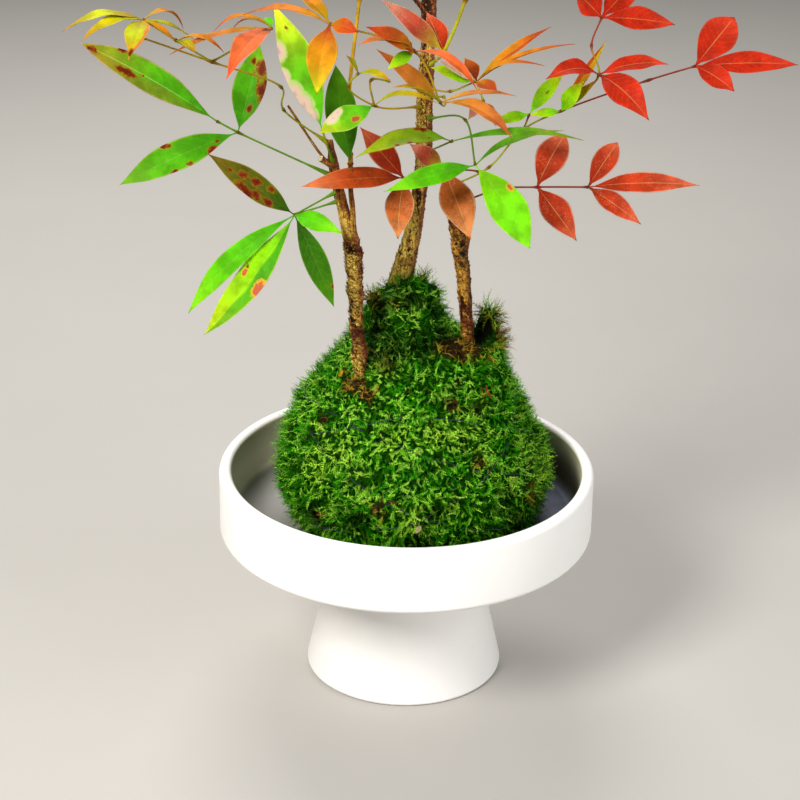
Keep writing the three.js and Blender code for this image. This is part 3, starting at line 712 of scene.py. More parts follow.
def mossMaterial(name="mossGreen", dryness=0.0):
    material, tree = newMaterial(name)
    where = objectPlace(tree)
    along = attribute(tree, "along")
    tone = attribute(tree, "tone")
    # Drift is the tone of the sprig with the slow change over the ball and the clumps
    patchy = times(tree, grain(tree, where, 90, 2), 0.35)
    clumped = times(tree, grain(tree, where, 320, 2), 0.35)
    drift = plus(tree, times(tree, tone, 0.5), plus(tree, patchy, clumped))
    darkTip, midTip, lightTip = mossTones["tips"]
    stem = mixColour(tree, ramp(tree, drift, 0.35, 0.85), *mossTones["stem"])
    tip = mixColour(tree, ramp(tree, drift, 0.4, 0.66), darkTip, midTip)
    tip = paint(tree, tip, lightTip, drift, 0.67, 0.78)
    # Each leaf darkens to a near-black foot: partly the moss's own dark stems, partly painted shade deep
    # among the sprigs
    green = mixColour(tree, ramp(tree, along, 0.0, 0.32), mossTones["root"], stem)
    green = paint(tree, green, tip, along, 0.3, 0.75)
    fresh = times(tree, attribute(tree, "fresh"), ramp(tree, along, 0.25, 0.7))
    fresh = times(tree, fresh, ramp(tree, drift, 0.5, 0.75))
    green = mixColour(tree, times(tree, fresh, 0.8), green, mossTones["fresh"])
    brown = mixColour(tree, ramp(tree, tone, 0.5, 0.9), *mossTones["dry"])
    brown = paint(tree, brown, mossTones["dryTip"], along, 0.5, 1.0, 0.4)
    dried = plus(tree, attribute(tree, "dry"), times(tree, tone, 0.35))
    dried = ramp(tree, plus(tree, dried, dryness), 0.5, 0.95)
    # The few sprigs of the lowest tone are dry wherever they stand
    stray = ramp(tree, tone, 0.02, 0.025, 0.8, 0.0)
    green = mixColour(tree, maths(tree, "MAXIMUM", dried, stray), green, brown)
    shade = times(tree, attribute(tree, "shade"), ramp(tree, tone, 0.88, 0.96, 1.0, 0.45))
    colour = mixColour(tree, 1.0, green, ramp(tree, shade, 0.05, 0.85, 1.0, 0.2), "MULTIPLY")
    # A sprig takes half its light as part of the round ball, so that it isn't lost in its own shading
    middle = (ball["centre"] * mm, 0, ball["shadeFrom"] * mm)
    outward = vectorMaths(tree, "NORMALIZE", vectorMaths(tree, "SUBTRACT", where, middle))
    own = add(tree, "ShaderNodeNewGeometry").outputs["Normal"]
    lean = vectorMaths(tree, "NORMALIZE", vectorMaths(tree, "ADD", own, outward))
    endMaterial(tree, colour, 0.4, 0.04, lean, 0.2, lean)
    return material


def mossBedMaterial():
    material, tree = newMaterial("mossBed")
    fine = grain(tree, objectPlace(tree), 700, 4)
    green = mixColour(tree, ramp(tree, fine, 0.35, 0.65), *mossTones["bed"])
    colour = paint(tree, green, mossTones["bedDry"], attribute(tree, "dry"), 0.3, 0.9)
    colour = paint(tree, colour, mossTones["bedShade"], attribute(tree, "shade"), 0.4, 1.0)
    endMaterial(tree, colour, 0.9, 0.02, bumped(tree, fine, 0.8, 0.0015))
    return material


# What grows on the bed: where it grows, its spacing, raise and sizes, and how it leans: with the surface's
# normal by lift, at random by scatter and with the swirl of the moss by flow
mossCoat = {
    "feather": {"Where": "grow", "Spacing": 1.12, "Lift": 0.3, "Scatter": 1.0, "Flow": 0.35, "Raise": 1.5,
                "Smallest": 0.6, "Largest": 1.15},
    "star": {"Where": "grow", "Spacing": 3.2, "Lift": 1.0, "Scatter": 0.35, "Flow": 0.0, "Raise": 0.8,
             "Smallest": 0.6, "Largest": 1.0},
    "strand": {"Where": "grow", "Spacing": 4.2, "Lift": 0.1, "Scatter": 1.0, "Flow": 0.2, "Raise": 1.2,
               "Smallest": 0.3, "Largest": 0.6},
    "wisp": {"Where": "wisp", "Spacing": 0.55, "Lift": 0.8, "Scatter": 1.0, "Flow": 0.3, "Raise": 1.0,
             "Smallest": 0.5, "Largest": 1.25},
    "dried": {"Where": "dried", "Spacing": 0.8, "Lift": 0.7, "Scatter": 1.0, "Flow": 0.1, "Raise": 1.2,
              "Smallest": 0.35, "Largest": 0.8},
}


def scatter(name, carrier, group, plan, seed, shapes, finish):
    values = {**plan, "Spacing": plan["Spacing"] * mm, "Raise": plan["Raise"] * mm, "Seed": seed,
              "Shapes": shapes, "Finish": finish}
    return runTree(name, carrier, group, values)


def growMoss(bed, green, yellowed, brown):
    group = scatterTree()
    finish = {"feather": green, "star": green, "strand": green, "wisp": yellowed, "dried": brown}
    sprigs = {
        "feather": [featherSprig(seed) for seed in range(7)],
        "star": [starSprig(seed) for seed in range(4)],
        "strand": [strandSprig(seed) for seed in range(5)],
        "wisp": [featherSprig(seed, length=4.4, pairs=8, size=0.9, curl=1.6) for seed in range(20, 26)],
        "dried": [strandSprig(seed, length=6, curl=2.6, half=0.26) for seed in range(10, 16)],
    }
    shapes = {kind: variantCollection(kind, made, finish[kind]) for kind, made in sprigs.items()}
    for number, quarter in enumerate(quarters):
        carrier = carrierPart(bed, quarter)
        for kind, plan in mossCoat.items():
            name = f"moss_{kind}_{quarter}"
            piece = scatter(name, carrier, group, plan, 20 + number, shapes[kind], finish[kind])
            print(name, len(piece.data.polygons))
            if piece.data.polygons:
                standFor(piece, "moss_cover")
            else:
                bpy.data.objects.remove(piece)
        bpy.data.objects.remove(carrier)
    for collection in shapes.values():
        dropCollection(collection)


bed = mossBed(mossBedMaterial())
standFor(bed, "moss_cover")
growMoss(bed, mossMaterial(), mossMaterial("mossYellowed", 0.5), mossMaterial("mossDry", 1.0))
print("moss is grown")

# Litter caught in the moss: its place, length, width and tone
litter = [
    (5, -60, 95, 3.4, 2.2, "husk"), (33, -22, 140, 5.5, 1.3, "rust"), (30, -23, 140, 3, 2, "rust"),
    (19, -33, 139, 4, 2.4, "brown"), (51, -33, 102, 3.4, 1.8, "rust"), (52, -34, 96, 4, 1.6, "brown"),
    (-34, -43, 92, 4, 1.4, "rust"), (-5, -56, 105, 4.5, 1.2, "brown"), (-12, -56, 101, 3.4, 1.6, "brown"),
    (-27, -18, 145, 3, 1.6, "gold"), (24, 40, 128, 4, 2, "brown"), (-38, 30, 110, 4, 1.5, "rust"),
]
litterTones = {"husk": "d0b48c", "rust": "a44412", "brown": "6c4418", "gold": "d09c14"}


def litterMaterial():
    material, tree = newMaterial("litter")
    patchy = mixColour(tree, grain(tree, objectPlace(tree), 900, 3), "383838", "ffffff")
    endMaterial(tree, mixColour(tree, 1.0, attribute(tree, "tint", "Color"), patchy, "MULTIPLY"), 0.8, 0.1)
    return material


# A flake is a shallow dish of 4 by 6 faces, laid on the moss at the nearest point of the bed
def makeLitter():
    draw = np.random.default_rng(4)
    surface, facing, _ = mossBedPoints()
    rows, columns = 7, 5
    points, faces, tint = [], [], []
    for x, y, z, length, width, tone in litter:
        nearest = np.argmin(((surface - (x, y, z)) ** 2).sum(1))
        lift = unit(facing[nearest] + draw.normal(0, 0.25, 3))
        along = unit(np.cross(lift, draw.normal(0, 1, 3)))
        across = np.cross(lift, along)
        start = len(points)
        for t in np.linspace(-1, 1, rows):
            middle = surface[nearest] + along * t * length / 2
            for s in np.linspace(-1, 1, columns):
                half = width / 2 * math.sqrt(1.05 - t * t * 0.95) + draw.normal(0, 0.06)
                curve = 0.5 * (t * t * length + s * s * width) / 4
                points.append(middle + across * s * half + lift * (0.2 + curve))
        faces += [tuple(start + i for i in ring) for ring in gridFaces(rows, columns)]
        tint += [rgba(litterTones[tone])] * (rows * columns)
    piece = makePiece("moss_litter", points, faces, litterMaterial(), {"tint": np.array(tint)})
    standFor(piece, "moss_cover")


makeLitter()
print("litter is laid")

# Binding thread: loops that rise and fall round the ball, half sunk among the sprigs
thread = {"radius": 0.22, "lift": -1.3, "steps": 420, "sides": 6, "tones": ("080c14", "1a2634")}
# Loops of thread: middle height, rise and fall, and the bearing of the highest place
threadLoops = [(112, 27, 35), (110, 25, 155), (108, 27, 275), (113, 19, 215)]


def threadMaterial():
    material, tree = newMaterial("threadBlue")
    endMaterial(tree, mixColour(tree, grain(tree, objectPlace(tree), 1500, 2), *thread["tones"]), 0.65)
    return material


def threadTree():
    group, given = newTree("threadOnPath", {"Path": "Geometry", "Radius": "Float", "Finish": "Material"})
    curve = add(group, "GeometryNodeMeshToCurve", {"Mesh": given["Path"]}).outputs[0]
    inputs = {"Resolution": thread["sides"], "Radius": given["Radius"]}
    section = add(group, "GeometryNodeCurvePrimitiveCircle", inputs).outputs[0]
    tube = add(group, "GeometryNodeCurveToMesh", {"Curve": curve, "Profile Curve": section})
    return endTree(group, tube.outputs[0], given["Finish"])


# The height on the bare surface is found by bisection, because the mounds lift the moss unevenly
def threadPath(middle, rise, bearing):
    turns = np.arange(thread["steps"]) * tau / thread["steps"]
    level = middle + rise * np.cos(turns - math.radians(bearing))
    low = np.full_like(turns, ball["base"])
    high = np.full_like(turns, ball["top"] - 4.0)
    for _ in range(30):
        z = (low + high) / 2
        below = mossPoint(turns, z)[:, 2] < level
        low = np.where(below, z, low)
        high = np.where(below, high, z)
    here = mossPoint(turns, low)
    slope = mossPoint(turns, low + 1.5) - mossPoint(turns, low - 1.5)
    ahead = np.roll(here, -1, 0) - np.roll(here, 1, 0)
    outward = np.cross(ahead, slope)
    outward /= np.linalg.norm(outward, axis=1, keepdims=True)
    sway = 0.9 * np.sin(turns * 9 + bearing) + 0.6 * np.sin(turns * 23 + middle)
    return here + outward * (thread["lift"] + sway)[:, None]


def makeThread():
    points, edges = [], []
    for loop in threadLoops:
        path = threadPath(*loop)
        start = len(points)
        points += path.tolist()
        edges += [(start + i, start + (i + 1) % len(path)) for i in range(len(path))]
    mesh = bpy.data.meshes.new("threadPath")
    mesh.from_pydata((np.array(points) * mm).tolist(), edges, [])
    carrier = addObject("threadPath", mesh)
    values = {"Radius": thread["radius"] * mm, "Finish": threadMaterial()}
    piece = runTree("thread_wound", carrier, threadTree(), values)
    bpy.data.objects.remove(carrier)
    piece.data.shade_smooth()
    standFor(piece, "binding_thread")


makeThread()
print("thread is wound")


# Curves as the plan draws them: a smooth line through points, with each value belonging to a place on it
def smoothCurve(points, t):
    p = np.asarray(points, float)
    last = len(p) - 1
    place = t * last
    i = min(int(place), last - 1)
    w = place - i
    p1, p2 = p[i], p[i + 1]
    p0 = p[i - 1] if i > 0 else 2 * p1 - p2
    p3 = p[i + 2] if i + 2 <= last else 2 * p2 - p1
    d0, d1, d2 = (max(np.dot(b - a, b - a) ** 0.25, 1e-4) for a, b in ((p0, p1), (p1, p2), (p2, p3)))
    t1 = ((p1 - p0) / d0 - (p2 - p0) / (d0 + d1) + (p2 - p1) / d1) * d1
    t2 = ((p2 - p1) / d1 - (p3 - p1) / (d1 + d2) + (p3 - p2) / d2) * d1
    return p1 + t1 * w + (3 * (p2 - p1) - 2 * t1 - t2) * w ** 2 + (2 * (p1 - p2) + t1 + t2) * w ** 3


def curveFrames(points, steps):
    places = np.linspace(0, 1, steps + 1)
    line = np.array([smoothCurve(points, t) for t in places])
    along = np.gradient(line, axis=0)
    along /= np.linalg.norm(along, axis=1, keepdims=True)
    across = []
    side = np.array([1.0, 0, 0])
    for way in along:
        side = side - way * np.dot(side, way)
        if np.linalg.norm(side) < 1e-3:
            side = np.array([0, 1.0, 0]) - way * way[1]
        side = unit(side)
        across.append(side)
    across = np.array(across)
    return places, line, along, across, np.cross(along, across)


# Canes: each run of wood from its foot to its tip, as points with a radius
canes = {
    "left_cane": [
        (330, [(-16, -26, 108, 3.2), (-19, -23, 140, 2.7), (-21, -20, 165, 2.5), (-22, -18, 181, 2.8),
               (-23, -16, 198, 3.4), (-28, -14, 218, 2.3), (-33, -12, 242, 1.9)]),
        (90, [(-23, -16, 198, 1.8), (-23, -17, 212, 1.15), (-24, -19, 226, 0.95), (-24, -20, 240, 0.9)]),
        (60, [(-31, -13, 231, 0.8), (-36, -14, 237, 0.55), (-49, -14, 257, 0.5)]),
        (14, [(-31, -14, 232, 1.2), (-36, -16, 236, 1.3)]),
    ],
    "centre_cane": [
        (460, [(-10, 16, 112, 5.4), (-6, 15, 150, 5.4), (-4, 14, 171, 5), (0, 13, 190, 3.9), (3, 12, 209, 3),
               (5, 11, 231, 3.3), (5, 10, 253, 3.3), (6, 9, 275, 2.8), (6, 8, 296, 3), (7, 7, 320, 2.4),
               (8, 6, 340, 1.6)]),
        (30, [(6, 8, 285, 1.2), (4, 6, 290, 1), (-1, 4, 297, 0.9)]),
    ],
    "right_cane": [
        (290, [(26, -4, 110, 2.9), (25, -4, 140, 2.8), (24, -4, 160, 2.5), (22, -4, 182, 2.5),
               (20, -5, 196, 3.3), (17, -7, 211, 2.1), (14, -9, 227, 1.3)]),
        (44, [(21, -5, 190, 1.6), (23, -5, 200, 1.3), (22, -5, 207, 0.8)]),
    ],
}
# How each cane's bark looks: ridges, flakes and their tones from the cracks to the crests. Bands give, for
# heights above the table, how much lighter or darker the bark is; above plain it is smooth. A chip's lift
# is how far it stands off, and its spacing is in millimetres.
barkLooks = {
    "left_cane": {
        "depth": 0.75, "knobs": 0.9, "chipSpacing": 0.798, "lift": 1.0, "mossy": 0.25, "cell": 560,
        "stretch": 0.9, "slant": 1.1, "streaks": 0.77, "crack": 0.9, "plain": 201,
        "tones": ("1a0c04", "94601a", "dcb850"), "side": "9c4c30",
        "bands": [(140, 0.14), (150, 0.14), (156, -0.14), (167, -0.2), (172, 0.05), (178, 0.2), (195, 0.16),
                  (198, -0.3), (201, -0.25), (204, 0.12), (214, 0.02), (224, -0.2), (242, -0.1)]},
    "centre_cane": {
        "depth": 0.45, "knobs": 0.3, "chipSpacing": 1.176, "lift": 0.4, "mossy": 0.6, "cell": 560,
        "stretch": 0.1, "slant": 0.0, "streaks": 1.76, "crack": 0.6, "plain": 400,
        "tones": ("32190a", "a4702c", "dcbc50"), "side": "a04c34",
        # The darkening of its bands from about 240 mm up is painted shade under the crown of leaves
        "bands": [(150, 0.12), (198, 0.08), (203, 0.22), (208, 0.06), (228, -0.02), (240, -0.14),
                  (258, -0.14), (270, -0.2), (278, -0.06), (284, -0.4), (340, -0.3)]},
    "right_cane": {
        "depth": 0.5, "knobs": 0.4, "chipSpacing": 0.84, "lift": 0.6, "mossy": 0.25, "cell": 980,
        "stretch": 0.6, "slant": 0.6, "streaks": 1.1, "crack": 0.7, "plain": 400,
        "tones": ("240a06", "945014", "dca840"), "side": "602418",
        "bands": [(150, -0.05), (168, -0.16), (174, -0.05), (179, 0.3), (186, 0.2), (196, 0.15),
                  (204, -0.1)]},
}
# What all the canes share: tones of their marks, the depth of gaps, the height from which chips grow and on
# how high ridges, and the height up to which the wood is mossy
wood = {"blotch": "7c3418", "rust": "5c2010", "crack": "0e0803", "gap": "0a0502", "cut": "e0d4a0",
        "mossy": "6a7a10", "gapDepth": 0.9, "chipsFrom": 138, "chipRidge": 0.3, "mossyTo": 180,
        "mossyFade": 40}
# Places of the gaps, where the bark sinks and is painted dark as shade, and of the rust on each cane: x, y, z
# and reach
woodGaps = {
    "left_cane": [(-25, -18, 226, 2.5), (-33, -12, 238, 3), (-24, -30, 150, 2)],
    "centre_cane": [(-7, 14, 160, 4), (3, 12, 214, 2.5)],
    "right_cane": [(21.5, -8, 197, 2.2), (22, -8, 193, 2.4), (21, -8, 188, 2.2), (24, -4, 168, 2)],
}
woodRust = {
    "left_cane": [(-20, -22, 162, 5), (-20, -18, 190, 2.5), (-26, -14, 216, 3)],
    "centre_cane": [(-2, 9, 183, 3), (4, 10, 186, 3), (7, 10, 240, 5), (4, 8, 262, 4), (6, 8, 196, 3)],
    "right_cane": [(18, -9, 201, 2.6), (17, -8, 206, 2.4), (24, -7, 168, 3), (23, -7, 162, 4)],
}
caneColumns = 36


def barkMaterial(name, look):
    material, tree = newMaterial(name)
    where = objectPlace(tree)
    plain = attribute(tree, "plain")
    # Flakes are cells slanted across the cane, with a warp that makes their borders ragged
    x, y, z = axes(tree, where)[:3]
    slanted = plus(tree, x, times(tree, z, look["slant"]))
    squashed = times(tree, z, look["stretch"])
    flat = add(tree, "ShaderNodeCombineXYZ", {"X": slanted, "Y": y, "Z": squashed}).outputs[0]
    warp = add(tree, "ShaderNodeTexNoise", {"Vector": where, "Scale": 420.0, "Detail": 3.0}).outputs["Color"]
    cellPlace = vectorMaths(tree, "ADD", flat, vectorMaths(tree, "SCALE", warp, scale=0.004))
    chance = cellChance(tree, cells(tree, cellPlace, look["cell"]))
    border = cells(tree, cellPlace, look["cell"], "DISTANCE_TO_EDGE")[0]
    long = add(tree, "ShaderNodeMapping", {"Vector": where, "Scale": (1.0, 1.0, 0.1)}).outputs[0]
    streak = grain(tree, long, 1500, 3, 0.6)
    # Level is how light the wood is: by its flake, its height, its band, its streaks and its chips, each of
    # which is dark where it leaves the cane and light at its lifted end
    flake = times(tree, maths(tree, "SUBTRACT", chance, 0.5), ramp(tree, plain, 0, 1, 0.75, 0.15))
    level = plus(tree, flake, plus(tree, times(tree, attribute(tree, "height"), 0.5), 0.25))
    along = attribute(tree, "along")
    run = times(tree, maths(tree, "SUBTRACT", streak, 0.5), look["streaks"])
    for share in (attribute(tree, "light"), ramp(tree, along, 0.2, 0.35, 0.0, -0.3),
                  ramp(tree, along, 0.4, 0.9, 0.0, 0.65), run):
        level = plus(tree, level, share)
    dark, middle, light = look["tones"]
    colour = mixColour(tree, ramp(tree, level, 0.12, 0.42), dark, middle)
    colour = paint(tree, colour, light, level, 0.42, 0.78)
    # The side facing +x takes a darker reddish tone: partly the bark's own colour, partly painted shade on
    # the side turned from the light
    colour = paint(tree, colour, look["side"], attribute(tree, "side"), 0.1, 0.9, 0.7)
    colour = paint(tree, colour, wood["blotch"], grain(tree, where, 130, 3), 0.52, 0.7, 0.35)
    colour = paint(tree, colour, wood["rust"], attribute(tree, "rust"), 0.15, 0.8, 0.7)
    crack = ramp(tree, border, 0.02, 0.14, look["crack"], 0.0)
    crack = times(tree, crack, ramp(tree, grain(tree, where, 520, 2), 0.42, 0.58, 0.15, 1.0))
    crack = times(tree, crack, ramp(tree, plain, 0, 1, 1, 0.15))
    colour = mixColour(tree, crack, colour, wood["crack"])
    # Painted shade: the sunk gaps between stems are near black
    colour = mixColour(tree, attribute(tree, "gap"), colour, wood["gap"])
    colour = paint(tree, colour, wood["cut"], attribute(tree, "cut"), 0.4, 0.8)
    colour = paint(tree, colour, wood["mossy"], attribute(tree, "mossy"), 0.2, 0.9, 0.5)
    relief = plus(tree, ramp(tree, border, 0.0, 0.2), times(tree, streak, 0.8))
    endMaterial(tree, colour, 0.55, 0.15, bumped(tree, relief, 0.8, 0.0008))
    return material


# A run of wood with its ridges: its marks at each point, the way along it and the way off its axis
def caneRun(path, steps, look, seed):
    centre = [p[:3] for p in path]
    radii = np.array([p[3] for p in path], float)
    places, line, along, across, other = curveFrames(centre, steps)
    length = np.linalg.norm(np.diff(line, axis=0), axis=1).sum()
    radius = np.interp(places * (len(radii) - 1), np.arange(len(radii)), radii)
    turns = np.arange(caneColumns) * tau / caneColumns
    points, height = [], []
    for i, t in enumerate(places):
        run = t * length
        smooth = smoothstep(line[i][2], look["plain"] - 2, look["plain"] + 2)
        share = min(1, radius[i] / 2.2) * (1 - 0.6 * smooth)
        for turn in turns:
            c, s = math.cos(turn), math.sin(turn)
            twist = turn + run * 0.02
            ridge = noise.noise(Vector((2.6 * math.cos(twist), 2.6 * math.sin(twist), run * 0.09 + seed)))
            scale = noise.noise(Vector((1.5 * c, 1.5 * s, run * 0.62 + 3 * seed)))
            knob = noise.noise(Vector((0.7 * c, 0.7 * s, run * 0.16 + 7 * seed)))
            rough = 0.55 * ridge + 0.45 * scale
            out = radius[i] + share * (look["depth"] * rough + look["knobs"] * knob)
            points.append(line[i] + (across[i] * c + other[i] * s) * out)
            height.append(0.5 + 0.9 * rough)
    points = np.array(points + [line[0] - along[0] * 0.2, line[-1] + along[-1] * 0.25])
    height = np.array(height + [0.5, 0.6])
    total = len(places) * caneColumns
    cut = np.zeros(len(points))
    cut[-1] = 1
    cut[total - caneColumns:total] = 0.75

    def everywhere(values):
        return np.vstack([np.repeat(values, caneColumns, 0), values[:1], values[-1:]])

    outward = points - everywhere(line)
    outward /= np.linalg.norm(outward, axis=1, keepdims=True) + 1e-6
    return points, tubeFaces(len(places), caneColumns), height, cut, everywhere(along), outward


# Bark chips: thin curved scales that lie along the cane and lift at one end
def barkChip(seed, lift):
    draw = np.random.default_rng(seed)
    rise = lift * draw.uniform(0.4, 1.2)
    length, width = draw.uniform(1.6, 3.4), draw.uniform(0.7, 1.5)
    rows, columns = 4, 3
    points, along = [], []
    for t in np.arange(rows) / (rows - 1):
        for s in np.arange(columns) / (columns - 1) * 2 - 1:
            ragged = draw.normal(0, 0.08)
            half = width / 2 * (0.45 + 0.9 * math.sin(math.pi * (0.15 + 0.7 * t)))
            raised = 0.05 - 0.2 * s * s + rise * t * t * t
            points.append((s * half + ragged, raised, (t - 0.3) * length + ragged))
            along.append(0.35 + 0.6 * t)
    return points, gridFaces(rows, columns), along


def makeCane(name, runs, number, group):
    look = barkLooks[name]
    made = [caneRun(path, steps, look, 1 + number * 5 + k) for k, (steps, path) in enumerate(runs)]
    faces, start = [], 0
    for points, runFaces, *_ in made:
        faces += [tuple(v + start for v in face) for face in runFaces]
        start += len(points)
    points, ridge, cut, flow, outward = (np.concatenate([run[i] for run in made]) for i in (0, 2, 3, 4, 5))
    # The first run is the cane, and the others are its twigs, which are smooth and may be cut off
    twig = np.concatenate([np.full(len(run[0]), min(k, 1.0)) for k, run in enumerate(made)])
    plain = np.maximum(twig, smoothstep(points[:, 2], look["plain"] - 2, look["plain"] + 2))
    gap = np.minimum(1, 1.3 * nearness(points, woodGaps[name]))
    points = points - outward * (wood["gapDepth"] * gap * (1 - twig))[:, None]
    # Side, the share facing +x, carries the darker reddish tone that is partly painted shade
    marks = {"height": ridge, "cut": cut * twig, "flow": flow, "side": outward[:, 0], "plain": plain,
             "gap": gap, "light": np.interp(points[:, 2], *zip(*look["bands"])),
             "mossy": smoothstep(wood["mossyTo"] - points[:, 2], 0, wood["mossyFade"]) * look["mossy"],
             "rust": nearness(points, woodRust[name]),
             "grow": (1 - plain) * (points[:, 2] > wood["chipsFrom"]) * (ridge > wood["chipRidge"])}
    material = barkMaterial(f"bark_{name}", look)
    cane = makePiece(f"{name}_bark", points, faces, material, marks)
    shapes = variantCollection(f"chip_{name}", [barkChip(seed, look["lift"]) for seed in range(8)], material)
    plan = {"Where": "grow", "Spacing": look["chipSpacing"], "Lift": 0.0, "Scatter": 0.2, "Flow": 1.0,
            "Raise": 0.0, "Smallest": 0.4, "Largest": 1.0}
    chips = scatter(f"{name}_chips", cane, group, plan, 5 + number, shapes, material)
    dropCollection(shapes)
    for piece in (cane, chips):
        standFor(piece, name)
    print(name, len(cane.data.polygons), len(chips.data.polygons))


def makeCanes():
    group = scatterTree()
    for number, (name, runs) in enumerate(canes.items()):
        makeCane(name, runs, number, group)


makeCanes()
print("canes have their bark")

# Leaf colours: root, middle, tip and rim
leafTones = {
    "greenBright": ("4cb404", "60cc06", "8cdc14", "a8d838"),
    "greenLeaf": ("44a004", "54b00c", "7cb818", "b0bc40"),
    "greenWorn": ("44b004", "58b80c", "98a020", "d0a860"),
    "greenFaded": ("58a810", "7c9c1c", "a08424", "d0a050"),
    # This green and the next are the leaf green darkened: painted shade
    "greenDeep": ("3c7c04", "448804", "5c9c08", "6ca818"),
    "greenShaded": ("2c6402", "347002", "4c8c06", "6ca818"),
    "greenSlim": ("58a80c", "6cb41c", "a4ac2c", "a0b438"),
    "limeGreen": ("84d408", "80e80c", "90f018", "c0f048"),
    "olive": ("386c04", "5c640a", "846c10", "b89c2c"),
    "greenOlive": ("7cb410", "8cac10", "b8cc1c", "b05c20"),
    "yellowGreen": ("74cc08", "98e00c", "c0dc18", "d8e050"),
    "lime": ("7cdc08", "a8ec0c", "d4e414", "e8e048"),
    "pale": ("60dc18", "84e81c", "e4f42c", "f0f080"),
    "cream": ("f0d8a0", "f0c8a0", "e0b0a0", "f8e8d0"),
    "yellow": ("b8c808", "d0c40c", "d08c1c", "e8c048"),
    "amber": ("c8a404", "d8860c", "c8481c", "e8b838"),
    "amberGreen": ("c08c14", "c4cc0c", "c88c20", "e0b440"),
    "tawny": ("d8a018", "d8802c", "d06430", "e8a860"),
    "rustToGold": ("b8481c", "dc9410", "dcd414", "e8b838"),
    "rustEdged": ("8c3410", "a84418", "c0601c", "d8a838"),
    "peach": ("e46c2c", "ec6c30", "e4582c", "f0a070"),
    "orangeRed": ("d88c10", "cc5414", "bc3018", "e8a060"),
    "roseGold": ("d8c02c", "c84c34", "dc9478", "f0c890"),
    "brick": ("b42c0c", "d84420", "e87048", "f4d0b0"),
    "brickOrange": ("a83410", "cc4c14", "ec8850", "e88048"),
    "copper": ("c4541c", "d8702c", "e89858", "f0c898"),
    "scarlet": ("b82008", "d42c10", "dc4024", "e45030"),
    "dried": ("a86024", "b8684c", "c88870", "e8c0a0"),
}
# How strongly the pale midrib shows, for the tones on which it is seen less or more than the rest
paleRibs = {"greenWorn": 0.3, "brick": 0.3, "brickOrange": 0.12, "scarlet": 0.2, "amber": 0.12, "peach": 0.1,
            "copper": 0.25}
stalkTones = {"green": "6a9c14", "yellowGreen": "b4b41c", "yellow": "c8a420", "gold": "d8a018",
              "brown": "8a4a24", "red": "a04434"}
leafMarks = {"vein": "fff4a8", "rib": "f0e890", "mottle": "7c1408", "fleck": "f4b890", "knot": "6e1c10"}
# Stains: how ragged the border is, and the paints from the border to the core, each with where it starts and
# ends on the stain's strength and how strong it is
stainPaints = {
    "spot": (1.0, [(0.05, 0.45, 0.45, "a47c10"), (0.35, 0.8, 0.85, "8c3812"), (0.7, 1.25, 0.85, "641408")]),
    "rosy": (0.8, [(0.1, 0.5, 0.85, "e8b030"), (0.5, 0.9, 0.85, "bc4a40")]),
    "bleach": (0.3, [(0.0, 0.35, 0.8, "e0f48c"), (0.25, 0.9, 0.95, "ffe0cc"), (1.1, 1.5, 0.7, "c0a0b0")]),
}
stainKinds = ("spot", "bleach", "rosy")
# A spot is longer along the leaf than across it; its strength falls from its middle over its radius
stainShape = {"stretch": 1.5, "core": 1.6, "most": 1.3}
# The form of every leaf: how finely it is divided, its outline, fold, waves, thickness and midrib, and how
# strong the tone of its rim and its midrib is
blade = {
    "spacing": 2.0, "spottedSpacing": 0.9, "rows": (12, 70), "crowding": 0.92, "stem": 0.045,
    "rootCurve": 1.15, "leastHalf": 0.26, "sickle": 0.022, "fold": 0.25, "foldCurve": 1.15, "wave": 0.04,
    "waves": 2.3, "thickness": 0.32, "thinner": 0.4, "ribWidth": 0.35, "ribDepth": 0.3, "rim": 0.6,
    "rib": 0.05,
}
bladeAcross = [-1, -0.95, -0.88, -0.68, -0.42, -0.16, -0.05, 0, 0.05, 0.16, 0.42, 0.68, 0.88, 0.95, 1]
stalkShape = {"caneEnd": 1.15, "caneFade": 0.35, "sides": 8, "swelling": 0.9, "nodeReach": 1.1, "knot": 0.85}
toViewer = (0, -0.8, 0.6)
halfUp = (0, -0.45, 0.9)
upward = (0, -0.1, 1)


def leaf(node, tip, width, tone, arch=0.06, face=None, spots=(), flecks=0.0, half=None, tipCurve=1.4,
         bow=None):
    return {"node": node, "tip": tip, "width": width, "tone": tone, "arch": arch, "face": face,
            "spots": spots, "flecks": flecks, "half": half, "tipCurve": tipCurve, "bow": bow}


def frond(slot, face, stalk, nodes, stalks, leaves, thick=0.38):
    return {"slot": slot, "face": face, "stalk": stalk, "nodes": nodes, "stalks": stalks, "leaves": leaves,
            "thick": thick}


